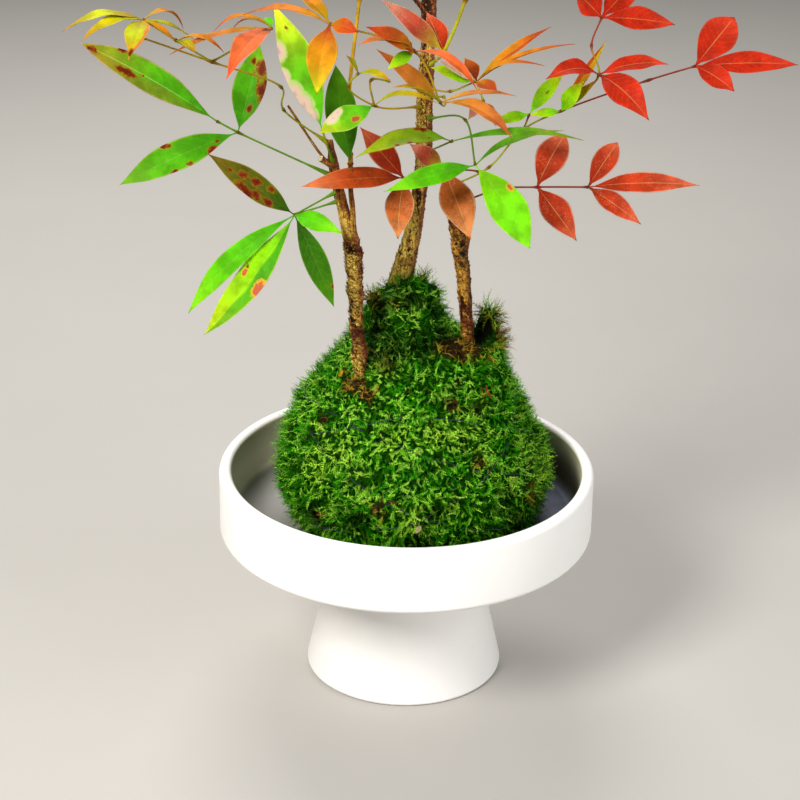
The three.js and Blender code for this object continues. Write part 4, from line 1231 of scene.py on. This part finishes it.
# Each frond: its slot, the way its leaves face, its stalk's tones, its nodes, its stalks and its leaves.
# A spot is its place along and across the leaf, its radius and its kind: none is dark, 1 is bleached and
# 2 is rosy. Half is another tone on one side of the midrib; tipCurve is low where the tip is blunt; bow is
# how far in millimetres the leaf bends sideways, random where it isn't given.
fronds = {
    "frond_left_upper": frond(
        "leaf_green", toViewer, ("green", "green"),
        {"cane": (-29, -14, 227), "fork": (-68, -22, 248), "end": (-76, -24, 253)},
        [("cane", "fork", "end")],
        [leaf("end", (-126, -34, 286), 12, "greenWorn", 0.04, tipCurve=1.05, half=("greenFaded", 1, 0.15),
              spots=[(0.93, 0.1, 1.3), (0.76, -0.95, 1.2), (0.63, 0.4, 1.0), (0.67, 0.45, 1.6),
                     (0.72, 0.5, 1.2), (0.57, 0.05, 0.5)]),
         leaf("fork", (-113, -38, 231), 12.5, "greenLeaf", 0.09, tipCurve=1.15,
              spots=[(0.57, -0.9, 1.0), (0.54, -0.8, 0.7), (0.583, 0.95, 0.9), (0.453, 0.85, 0.9),
                     (0.47, 0.75, 0.6), (0.24, 0.7, 1.1), (0.27, 0.85, 0.8), (0.18, 0.2, 0.6)]),
         leaf("fork", (-60, -6, 279), 13, "greenLeaf", 0, tipCurve=1.2,
              spots=[(0.8, 0.2, 0.8), (0.73, -0.6, 2.4), (0.5, -0.75, 1.9), (0.42, -0.85, 1.2),
                     (0.28, -0.45, 1.0), (0.6, -0.95, 1.1)])]),
    "frond_left_lower": frond(
        "leaf_green", toViewer, ("green", "green"),
        {"cane": (-29, -14, 222), "caneBelow": (-28, -14, 218), "fork": (-46, -24, 215)},
        [("cane", "fork"), ("caneBelow", "fork")],
        [leaf("fork", (-79, -34, 243), 10.5, "olive", 0.04, tipCurve=1.3,
              spots=[(0.63, -0.25, 1.3), (0.49, -0.3, 1.5), (0.336, -0.6, 1.1), (0.6, 0.7, 1.8),
                     (0.53, 0.75, 1.8), (0.44, 0.5, 1.5), (0.3, 0.55, 1.4), (0.75, 0, 0.7)]),
         leaf("fork", (-88.6, -30, 174.6), 9, "greenBright", 0.08, tipCurve=1.15, bow=-2.4),
         leaf("fork", (-81.6, -38, 168.8), 12, "yellowGreen", 0.02, tipCurve=1.15, bow=2,
              half=("greenLeaf", 1, 0.1),
              spots=[(0.53, 0.8, 2.2, 2), (0.5, 0.7, 0.5), (0.5, -0.6, 0.9, 2), (0.45, -0.7, 0.6)]),
         leaf("fork", (-30, -34, 180), 9.6, "greenShaded", 0.03, spots=[(0.8, 0.9, 0.5)], tipCurve=1.2),
         leaf("fork", (-26, -40, 213), 8, "greenBright", 0.1)]),
    "frond_left_pale": frond(
        "leaf_pale", toViewer, ("green", "yellowGreen"),
        {"cane": (-31, -13, 233), "end": (-35, -24, 250)},
        [("cane", "end")],
        [leaf("end", (-53, -34, 302), 14, "pale", 0.05, tipCurve=1.2,
              spots=[(0.14, 0.9, 2.0, 1), (0.24, 0.95, 3.4, 1), (0.36, 1.0, 3.2, 1), (0.52, 1.0, 1.8, 1),
                     (0.7, 0.95, 2.4, 1), (0.82, -0.2, 0.5)])]),
    "frond_left_front": frond(
        "leaf_amber", upward, ("yellowGreen", "yellow"),
        {"cane": (-33, -12, 241), "bend": (-50, -24, 258), "low": (-50, -38, 271), "fork": (-74, -62, 287),
         "mid": (-86, -70, 297), "end": (-97, -76, 306), "back": (-99, -70, 298), "high": (-52, -58, 299)},
        [("cane", "bend", "low", "fork", "back"), ("fork", "mid", "end"), ("fork", "high")],
        [leaf("end", (-125, -84, 303), 7, "amberGreen", 0.14),
         leaf("end", (-117, -92, 302), 7, "yellow", 0.12),
         leaf("end", (-100, -99, 297), 9, "amberGreen", 0.08, half=("tawny", 1, 0.6), tipCurve=1.8,
              spots=[(0.85, 0.2, 1.0)]),
         leaf("end", (-84, -62, 299), 4, "amber", 0.25),
         leaf("end", (-79, -66, 295.5), 4.5, "yellow", 0.08),
         leaf("end", (-85.5, -78, 299), 3.5, "amber", 0.08),
         leaf("mid", (-78, -80, 295), 5, "yellow", 0.1),
         leaf("mid", (-68, -76, 294), 4, "amber", 0.2),
         leaf("high", (-88, -80, 294), 5, "tawny"),
         leaf("high", (-74, -60, 297), 4, "amber", 0.26),
         leaf("high", (-68, -50, 295), 4, "amber", 0.24),
         leaf("high", (-55, -50, 301), 3.5, "greenBright", 0.05, toViewer),
         leaf("high", (-66, -96, 290), 10.5, "peach", 0.1, spots=[(0.14, 0.4, 1.6)])]),
    "frond_left_high": frond(
        "leaf_amber", halfUp, ("gold", "yellow"),
        {"cane": (-24, -20, 239), "first": (-25, -20, 243), "up": (-25, -14, 260), "mid": (-21, -12, 300),
         "fork": (-20, -12, 314), "end": (-24, -14, 332), "low": (-24, -23, 236)},
        [("cane", "first", "up", "mid", "fork", "end"), ("cane", "low")],
        [leaf("low", (-30, -20, 275), 12.5, "greenDeep", 0, toViewer, tipCurve=1.1),
         leaf("fork", (-56, -38, 322), 10, "amber", 0.08),
         leaf("fork", (-46, 18, 326), 9, "amberGreen", 0.1),
         leaf("end", (-66, -24, 344), 11, "orangeRed", 0.1),
         leaf("end", (-20, -50, 350), 9, "amber", 0.08),
         leaf("end", (-34, -18, 362), 11, "orangeRed", 0.05)], 0.7),
    "frond_middle_twig": frond(
        "leaf_pale", halfUp, ("yellow", "yellowGreen"),
        {"cane": (5, 10, 250), "fork": (-15, -20, 259), "side": (-25, -25, 268), "end": (-21, -24, 273),
         "curl": (-9, -24, 270), "hook": (-16, -26, 271)},
        [("cane", "fork", "side", "end"), ("fork", "hook", "curl")],
        [leaf("fork", (-35.5, -36, 252.6), 10, "pale", 0.06, toViewer, tipCurve=1,
              spots=[(0.74, -0.6, 1.6, 1), (0.62, -0.75, 1.2, 1), (0.7, -0.75, 0.9, 2), (0.42, 0.4, 1.2, 2)]),
         leaf("fork", (10, -30, 263), 3.5, "yellow", 0.2),
         leaf("end", (-8, -30, 271), 4, "yellow", 0.15),
         leaf("end", (-26, -27, 281), 3.5, "amberGreen", 0.05)]),
    "frond_middle_red": frond(
        "leaf_red", toViewer, ("brown", "red"),
        {"cane": (4, 12, 219), "end": (-3, 0, 223)},
        [("cane", "end")],
        [leaf("end", (-43, -34, 230), 9.5, "brickOrange", 0.08, flecks=0.08, tipCurve=1.2),
         leaf("end", (-21, 4, 243), 10.5, "brick", 0.03, flecks=0.1),
         leaf("end", (-5, -12, 201), 12, "copper", 0.03, flecks=0.6)]),
    "frond_right_tip": frond(
        "leaf_red", toViewer, ("brown", "red"),
        {"cane": (14, -9, 226), "end": (13, -10, 230), "curl": (27, -9, 229), "hook": (30, -9, 226),
         "down": (29, -9, 223)},
        [("cane", "end"), ("end", "curl", "hook", "down")],
        [leaf("end", (-1, -8, 240), 8, "roseGold", 0.04, flecks=0.5),
         leaf("end", (24, -25, 206), 14, "copper", flecks=0.6)]),
    "frond_middle_green": frond(
        "leaf_green", halfUp, ("green", "green"),
        {"cane": (5, 11, 230), "end": (16, -10, 242)},
        [("cane", "end")],
        [leaf("end", (-22, -37, 243), 10, "greenOlive", 0.12,
              spots=[(0.3, -0.85, 1.2), (0.36, -0.8, 0.9), (0.55, 0.85, 1.0), (0.66, 0.8, 0.8),
                     (0.3, 0.3, 0.6)]),
         leaf("end", (69, -4, 241), 4.6, "greenSlim", 0.08)]),
    "frond_right_green": frond(
        "leaf_green", toViewer, ("green", "green"),
        {"cane": (5, 10, 245), "bend": (21, -11, 251), "end": (25, -22, 236)},
        [("cane", "bend", "end")],
        [leaf("end", (-11, -36, 229), 8.5, "greenBright", 0.08),
         leaf("end", (47, -34, 206), 15, "limeGreen", 0.05, spots=[(0.38, 0.8, 0.9, 2)], tipCurve=1.1),
         leaf("end", (59, -30, 253), 4.6, "greenSlim", 0.14, halfUp)]),
    "frond_front": frond(
        "leaf_amber", upward, ("yellowGreen", "yellow"),
        {"cane": (5, 10, 254), "bend": (12, -24, 264), "fork": (10, -62, 273), "mid": (0, -72, 295),
         "end": (-30, -82, 307)},
        [("cane", "bend", "fork", "mid", "end")],
        [leaf("fork", (36, -87, 267), 9, "tawny", 0.12),
         leaf("fork", (38, -70, 278), 5, "tawny", 0.08),
         leaf("fork", (-8, -78, 283), 5, "yellow", 0.08),
         leaf("fork", (-14, -66, 294), 6.5, "tawny", 0.1, toViewer),
         leaf("mid", (23, -89, 285), 6, "peach", 0.16),
         leaf("mid", (-20, -92, 302), 7, "tawny", 0.1),
         leaf("mid", (-17.6, -84, 306.7), 7, "orangeRed", 0.1, toViewer),
         leaf("mid", (-4.6, -78, 298.5), 5, "orangeRed", 0.05, toViewer),
         leaf("mid", (-9.5, -80, 290), 5, "yellowGreen", 0.05, toViewer),
         leaf("end", (-19.7, -88, 305.5), 6.5, "orangeRed", 0.06, toViewer),
         leaf("end", (-34, -100, 286), 11, "rustToGold", face=toViewer),
         leaf("end", (-62, -76, 308), 7, "tawny", 0.12),
         leaf("end", (-44, -66, 314), 7, "amber", 0.1)]),
    "frond_right_orange": frond(
        "leaf_amber", halfUp, ("yellow", "yellowGreen"),
        {"cane": (6, 9, 258), "bend": (15, -2, 260), "end": (25, -8, 266), "tuft": (28, -9, 258)},
        [("cane", "bend", "end"), ("end", "tuft")],
        [leaf("end", (20, -10, 276), 7, "rustEdged", 0.03, toViewer),
         leaf("end", (54, -3, 287), 5, "amber", 0.07, half=("orangeRed", -1, 0.2)),
         leaf("end", (63, -14, 283), 2.8, "amber", 0.12, half=("rustEdged", -1, 0.2)),
         leaf("end", (51, -25, 277), 2.8, "amber", 0.16),
         leaf("end", (33, -21, 265), 7, "orangeRed", 0.05),
         leaf("tuft", (22, -14, 252), 5, "dried", 0.2, toViewer, flecks=0.5),
         leaf("tuft", (33, -16, 250), 5, "dried", 0.15, toViewer, flecks=0.5),
         leaf("end", (6.5, -16, 273.5), 7, "yellowGreen", 0.08, toViewer),
         leaf("end", (9, -20, 277.5), 4.5, "cream", 0.05, toViewer)]),
    "frond_right_upper": frond(
        "leaf_red", toViewer, ("yellowGreen", "red"),
        {"cane": (15, -8, 222), "low": (31, -6, 230), "mid": (45, 4, 243), "spur": (47, 5, 249),
         "fork": (60, 10, 249), "far": (96, 22, 259), "end": (115, 26, 264), "near": (74, 4, 266),
         "rise": (71, 10, 276), "high": (75, 16, 286)},
        [("cane", "low", "mid", "fork", "far", "end"), ("mid", "spur"), ("fork", "near", "rise", "high")],
        [leaf("spur", (61, 12, 265), 6.4, "lime", 0.03, spots=[(0.5, -0.2, 0.4)]),
         leaf("spur", (32, -6, 248), 5, "lime", 0.05, toViewer),
         leaf("fork", (47, 4, 249), 4, "lime", 0.03),
         leaf("fork", (68, -1, 265), 7, "lime", 0.05, toViewer),
         leaf("fork", (74, 2, 265), 4, "yellow", 0.03, toViewer),
         leaf("fork", (78, 20, 276), 4, "rustToGold", 0.02, half=("orangeRed", 1, 0.2)),
         leaf("near", (52, -8, 267), 10, "scarlet", 0.16, halfUp),
         leaf("near", (102, 6, 270), 9, "scarlet", 0.1, halfUp),
         leaf("near", (93, -15, 253), 13, "scarlet", 0.12),
         leaf("high", (65, 19, 295), 11, "scarlet", 0.04, tipCurve=1.2),
         leaf("high", (105, 18, 283), 10, "scarlet", 0.08),
         leaf("high", (91, 32, 297), 11, "scarlet"),
         leaf("end", (131, 36, 282), 15, "scarlet", 0.04, tipCurve=0.9),
         leaf("end", (158, 30, 264), 9.5, "scarlet", 0.1),
         leaf("end", (130, 14, 257), 10, "scarlet", tipCurve=1.2)]),
    "frond_right_lower": frond(
        "leaf_red", toViewer, ("brown", "red"),
        {"cane": (17, -7, 214), "low": (36, -3, 220), "fork": (51, 0, 220), "end": (72, 4, 219)},
        [("cane", "low", "fork", "end")],
        [leaf("fork", (62, 8, 240), 13, "brick", 0.03, flecks=0.35, tipCurve=0.9),
         leaf("fork", (67, -14, 202), 12, "brick", 0.04, flecks=0.5),
         leaf("end", (84, 14, 235), 10, "brick", 0.03, flecks=0.35, tipCurve=0.9),
         leaf("end", (118, 8, 219), 9, "brick", flecks=0.35),
         leaf("end", (93, -10, 208), 9, "brick", 0.04, flecks=0.5)], 0.4),
    "frond_right_high": frond(
        "leaf_red", halfUp, ("yellowGreen", "yellow"),
        {"cane": (6, 9, 267), "first": (12, -2, 276), "mid": (20, -2, 297), "fork": (24, -4, 315),
         "end": (30, -5, 334)},
        [("cane", "first", "mid", "fork", "end")],
        [leaf("first", (-13, -11, 299), 8, "roseGold", face=toViewer, flecks=0.4),
         leaf("first", (5, -3, 292), 9.5, "brick", 0.03, toViewer),
         leaf("fork", (60, -24, 322), 10, "scarlet", 0.1),
         leaf("fork", (16, -44, 326), 9, "scarlet", 0.08),
         leaf("end", (74, -14, 346), 11, "scarlet", 0.1),
         leaf("end", (54, 24, 350), 10, "brick", 0.08),
         leaf("end", (32, -12, 364), 10, "scarlet", 0.04)], 0.7),
}
# Crown fronds, above and behind: slot, leaf tones in turn, height on the centre cane, bearing, reach and rise
crown = [
    ("leaf_green", ("greenBright", "yellowGreen", "greenDeep"), 292, 92, 92, 14),
    ("leaf_red", ("scarlet", "brick", "orangeRed"), 301, 32, 110, 20),
    ("leaf_amber", ("amber", "yellow", "amberGreen"), 306, 170, 166, 24),
    ("leaf_green", ("greenDeep", "olive", "greenBright"), 330, 226, 96, 44),
    ("leaf_red", ("brick", "scarlet", "orangeRed"), 335, 290, 98, 44),
    ("leaf_pale", ("pale", "yellowGreen", "pale"), 331, 116, 88, 36),
]
# Where the centre cane stands below the crown
caneAxis = (7, 7)
# Nodes of a crown frond: share of its reach, turn in degrees from its bearing and share of its rise; and its
# leaves: node, the tip's place in the same way, width and arch
crownNodes = {"cane": (0, 0, 0), "fork": (0.42, 0, 0.8), "left": (0.52, 19, 0.9), "right": (0.52, -19, 0.9),
              "mid": (0.6, 0, 1), "end": (0.74, 0, 1)}
crownLeaves = [
    ("left", (0.86, 31, 0.6), 11, 0.1), ("left", (0.56, 52, 0.8), 9, 0.12),
    ("right", (0.86, -31, 0.6), 11, 0.1), ("right", (0.56, -52, 0.8), 9, 0.12),
    ("mid", (0.94, 15, 0.8), 10, 0.1), ("mid", (0.94, -15, 0.8), 10, 0.1), ("end", (1, 5, 0.7), 12, 0.1),
]


def crownFrond(slot, tones, height, bearing, reach, rise):
    def at(out, turn, up):
        way = math.radians(bearing + turn)
        x, y = caneAxis
        return (x + out * reach * math.cos(way), y + out * reach * math.sin(way), height + up * rise)

    nodes = {name: at(*place) for name, place in crownNodes.items()}
    leaves = [leaf(node, at(*tip), width, tones[k % len(tones)], arch)
              for k, (node, tip, width, arch) in enumerate(crownLeaves)]
    stalks = [("cane", "fork", "mid", "end"), ("fork", "left"), ("fork", "right")]
    return frond(slot, (0, 0, 1), ("yellow", "yellow"), nodes, stalks, leaves)


def leafMaterial(name):
    material, tree = newMaterial(name)
    where = objectPlace(tree)
    along, across = axes(tree, add(tree, "ShaderNodeTexCoord").outputs["UV"])[:2]
    offset = maths(tree, "ABSOLUTE", times(tree, maths(tree, "SUBTRACT", across, 0.5), 2.0))
    # Side veins run forward from the midrib, with a fine net between them
    bend = times(tree, maths(tree, "POWER", offset, 1.3), 0.16)
    slant = maths(tree, "SUBTRACT", along, bend)
    wobble = times(tree, grain(tree, where, 300, 3), 0.12)
    waves = maths(tree, "SINE", times(tree, plus(tree, slant, wobble), tau * 11))
    vein = ramp(tree, waves, 0.8, 1.0)
    net = ramp(tree, cells(tree, where, 1300.0, "DISTANCE_TO_EDGE")[0], 0.0, 0.1, 1.0, 0.0)
    rib = ramp(tree, offset, 0.01, 0.05, 1.0, 0.0)
    lines = maths(tree, "MAXIMUM", times(tree, vein, 0.6), times(tree, net, 0.35))
    blotch = grain(tree, where, 150, 4)
    dim = mixColour(tree, ramp(tree, blotch, 0.35, 0.65), "d8d8d8", "ffffff")
    colour = mixColour(tree, 1.0, attribute(tree, "tint", "Color"), dim, "MULTIPLY")
    colour = mixColour(tree, times(tree, lines, 0.045), colour, leafMarks["vein"])
    colour = mixColour(tree, times(tree, rib, attribute(tree, "rib")), colour, leafMarks["rib"])
    fine = maths(tree, "SUBTRACT", grain(tree, where, 1100, 4, 0.65), 0.5)
    broad = maths(tree, "SUBTRACT", grain(tree, where, 420, 2), 0.5)
    ragged = plus(tree, times(tree, fine, 1.5), times(tree, broad, 2.0))
    for kind, (wildness, paints) in stainPaints.items():
        mark = attribute(tree, kind)
        border = plus(tree, mark, times(tree, ragged, wildness))
        stain = times(tree, ramp(tree, mark, 0.02, 0.25), border)
        for low, high, most, code in paints:
            colour = paint(tree, colour, code, stain, low, high, most)
    # Pale flecks, crowded where a slow noise is high, with darker mottling between them
    flecked = attribute(tree, "flecks")
    mottle = times(tree, ramp(tree, grain(tree, where, 340, 3), 0.5, 0.7, 0.0, 0.5), flecked)
    colour = mixColour(tree, mottle, colour, leafMarks["mottle"])
    cell = cells(tree, where, 1800.0)
    crowd = times(tree, flecked, ramp(tree, grain(tree, where, 230, 2), 0.46, 0.66))
    fleck = maths(tree, "LESS_THAN", cellChance(tree, cell), crowd)
    fleck = times(tree, fleck, ramp(tree, cell["Distance"], 0.2, 0.6, 0.28, 0.0))
    colour = mixColour(tree, fleck, colour, leafMarks["fleck"])
    relief = plus(tree, times(tree, lines, -0.6), times(tree, blotch, 0.4))
    endMaterial(tree, colour, 0.48, 0.05, bumped(tree, relief, 0.25, 0.0004), 0.26)
    return material


def noMarks(tint):
    marks = {kind: np.zeros(len(tint)) for kind in (*stainKinds, "flecks", "rib")}
    return {"tint": np.column_stack([tint, np.ones(len(tint))]), **marks}


# Colour along a leaf from its root through its middle to its tip
def toneAt(tone, t):
    root, middle, tip = (hexColour(code) for code in leafTones[tone][:3])
    low = smoothstep(t, 0, 0.5)[..., None]
    high = smoothstep(t, 0.5, 1)[..., None]
    return root * (1 - low) + middle * (low - high) + tip * high


# Tones and stains of a leaf, whose rows lie at t and are as wide as half gives; along and aside are each
# point's place along and across it
def bladeMarks(plan, draw, length, t, half, around):
    along = np.concatenate([np.repeat(t, len(around)), [0, 1]])
    aside = np.concatenate([np.tile(around, len(t)), [0, 0]])
    tint = toneAt(plan["tone"], np.clip(along + draw.normal(0, 0.05), 0, 1))
    if plan["half"]:
        other, side, start = plan["half"]
        share = smoothstep(side * aside + 0.08 * np.sin(along * 19), start - 0.12, start + 0.12)[:, None]
        tint = tint * (1 - share) + toneAt(other, along) * share
    rim = smoothstep(np.abs(aside), 0.89, 0.95)[:, None] * blade["rim"]
    tint = tint * (1 - rim) + hexColour(leafTones[plan["tone"]][3]) * rim
    marks = noMarks(tint)
    halfHere = np.concatenate([np.repeat(half, len(around)), [0.3, 0.05]])
    for place, sideways, radius, *kind in plan["spots"]:
        halfThere = np.interp(place, t, half)
        ahead = (along - place) * length / stainShape["stretch"]
        away = np.hypot(ahead, aside * halfHere - sideways * halfThere)
        stain = marks[stainKinds[kind[0] if kind else 0]]
        np.maximum(stain, np.clip(stainShape["core"] - away / radius, 0, stainShape["most"]), out=stain)
    marks["flecks"] += plan["flecks"]
    marks["rib"] += paleRibs.get(plan["tone"], blade["rib"])
    return marks, np.column_stack([along, (aside + 1) / 2])


def leafBlade(root, plan, face, seed):
    draw = np.random.default_rng(seed)
    root, tip = np.array(root, float), np.array(plan["tip"], float)
    run = tip - root
    length = np.linalg.norm(run)
    lift = unit(face - run * np.dot(face, run) / length ** 2)
    across = unit(np.cross(lift, run))
    spacing = blade["spottedSpacing"] if plan["spots"] else blade["spacing"]
    rows = int(np.clip(length / spacing, *blade["rows"]))
    stations = np.array(bladeAcross)
    if plan["spots"]:
        stations = np.unique(np.concatenate([stations, (stations[1:] + stations[:-1]) / 2]))
    # Width, bend and wave along the leaf
    t = (np.arange(rows) / rows) ** blade["crowding"]
    grown = np.clip((t - blade["stem"]) / (1 - blade["stem"]), 0, 1)
    widest = blade["rootCurve"] / (blade["rootCurve"] + plan["tipCurve"])
    share = (grown / widest) ** blade["rootCurve"] * ((1 - grown) / (1 - widest)) ** plan["tipCurve"]
    half = np.maximum(share * plan["width"] / 2, blade["leastHalf"])
    bow = draw.uniform(-1, 1) * blade["sickle"] * length
    bow = bow if plan["bow"] is None else plan["bow"]
    centre = root + np.outer(t, run) + lift * (4 * plan["arch"] * length * t * (1 - t))[:, None]
    centre = centre + across * (4 * bow * t * (1 - t))[:, None]
    phase = draw.uniform(0, tau)
    v = stations[None, :]
    turn = tau * blade["waves"] * t[:, None] + phase + 1.7 * (v > 0)
    wave = blade["wave"] * plan["width"] * np.sin(turn) * v ** 2
    wave = wave * np.minimum(1, half / 2)[:, None]
    rise = blade["fold"] * half[:, None] * np.abs(v) ** blade["foldCurve"] + wave
    thick = blade["thickness"] / 2 * np.sqrt(np.clip(1 - v ** 2, 0, 1)) * (1 - blade["thinner"] * t[:, None])
    rib = np.exp(-((v * half[:, None]) / blade["ribWidth"]) ** 2) * (1 - t[:, None]) * blade["ribDepth"]
    flat = centre[:, None, :] + across * (half[:, None] * v)[..., None]
    over = flat + lift * (rise + thick - 0.35 * rib)[..., None]
    under = flat + lift * (rise - thick - rib)[..., None]
    # Round each row: over the upper side, then back along the lower side between the rims
    rings = np.concatenate([over, under[:, -2:0:-1]], axis=1)
    around = np.concatenate([stations, stations[-2:0:-1]])
    columns = len(around)
    points = np.vstack([rings.reshape(-1, 3), [root - run / length * 0.3, tip]])
    marks, uv = bladeMarks(plan, draw, length, t, half, around)
    return points, tubeFaces(rows, columns), marks, uv


def stalkTube(nodes, names, tones, thick):
    path = [nodes[name] for name in names]
    places, line, along, across, other = curveFrames(path, 10 * (len(path) - 1))
    radius = np.full(len(places), thick)
    if names[0].startswith("cane"):
        fade = smoothstep(places * (len(path) - 1), 0, stalkShape["caneFade"])
        radius += (stalkShape["caneEnd"] - thick) * (1 - fade)
    # The stalk swells and darkens at each node
    atNode = np.zeros(len(places))
    for name in names:
        if not name.startswith("cane"):
            away = np.linalg.norm(line - np.array(nodes[name]), axis=1)
            atNode = np.maximum(atNode, np.exp(-(away / stalkShape["nodeReach"]) ** 2))
    radius = radius * (1 + stalkShape["swelling"] * atNode)
    sides = stalkShape["sides"]
    turns = np.arange(sides) * tau / sides
    c, s = np.cos(turns)[None, :, None], np.sin(turns)[None, :, None]
    ring = across[:, None, :] * c + other[:, None, :] * s
    points = (line[:, None, :] + ring * radius[:, None, None]).reshape(-1, 3)
    points = np.vstack([points, [line[0], line[-1] + along[-1] * 0.3]])
    start, end = (hexColour(stalkTones[tone]) for tone in tones)
    tint = start + np.outer(smoothstep(places, 0.35, 0.7), end - start)
    knot = (stalkShape["knot"] * atNode)[:, None]
    tint = tint * (1 - knot) + hexColour(leafMarks["knot"]) * knot
    tint = np.vstack([np.repeat(tint, sides, 0), tint[:1], tint[-1:]])
    # Its place on the leaf pattern is between the midrib and the rim, where no line runs
    uv = np.tile((0.0, 0.9), (len(points), 1))
    return points, tubeFaces(len(line), sides), noMarks(tint), uv


def makeFrond(name, plan, material, seed):
    parts = [stalkTube(plan["nodes"], names, plan["stalk"], plan["thick"]) for names in plan["stalks"]]
    for k, one in enumerate(plan["leaves"]):
        face = np.array(one["face"] or plan["face"], float)
        parts.append(leafBlade(plan["nodes"][one["node"]], one, face, seed * 20 + k))
    faces, start = [], 0
    for points, partFaces, _, _ in parts:
        faces += [tuple(v + start for v in face) for face in partFaces]
        start += len(points)
    marks = {key: np.concatenate([part[2][key] for part in parts]) for key in parts[0][2]}
    points = np.vstack([part[0] for part in parts])
    uv = np.vstack([part[3] for part in parts])
    piece = makePiece(f"{name}_leaves", points, faces, material, marks, uv)
    standFor(piece, name)
    return len(piece.data.polygons)


def makeFronds():
    plans = dict(fronds)
    for number, plan in enumerate(crown):
        plans[f"frond_crown_{number + 1}"] = crownFrond(*plan)
    materials = {slot: leafMaterial(slot) for slot in ("leaf_green", "leaf_pale", "leaf_amber", "leaf_red")}
    total = 0
    for number, (name, plan) in enumerate(plans.items()):
        total += makeFrond(name, plan, materials[plan["slot"]], number + 1)
    print("fronds have their leaves:", total, "faces")


makeFronds()


# Soil inside the moss, seen only where the cover is opened
soilTones = ("1c120a", "5a4028")


def soilMaterial():
    material, tree = newMaterial("soil")
    crumbs = grain(tree, objectPlace(tree), 420, 5, 0.7)
    colour = mixColour(tree, ramp(tree, crumbs, 0.3, 0.7), *soilTones)
    endMaterial(tree, colour, 0.95, 0.5, bumped(tree, crumbs, 1.0, 0.002))
    return material


for holder in frame["nodes"]["soil_ball"].material_slots:
    holder.material = soilMaterial()
print("soil is set")
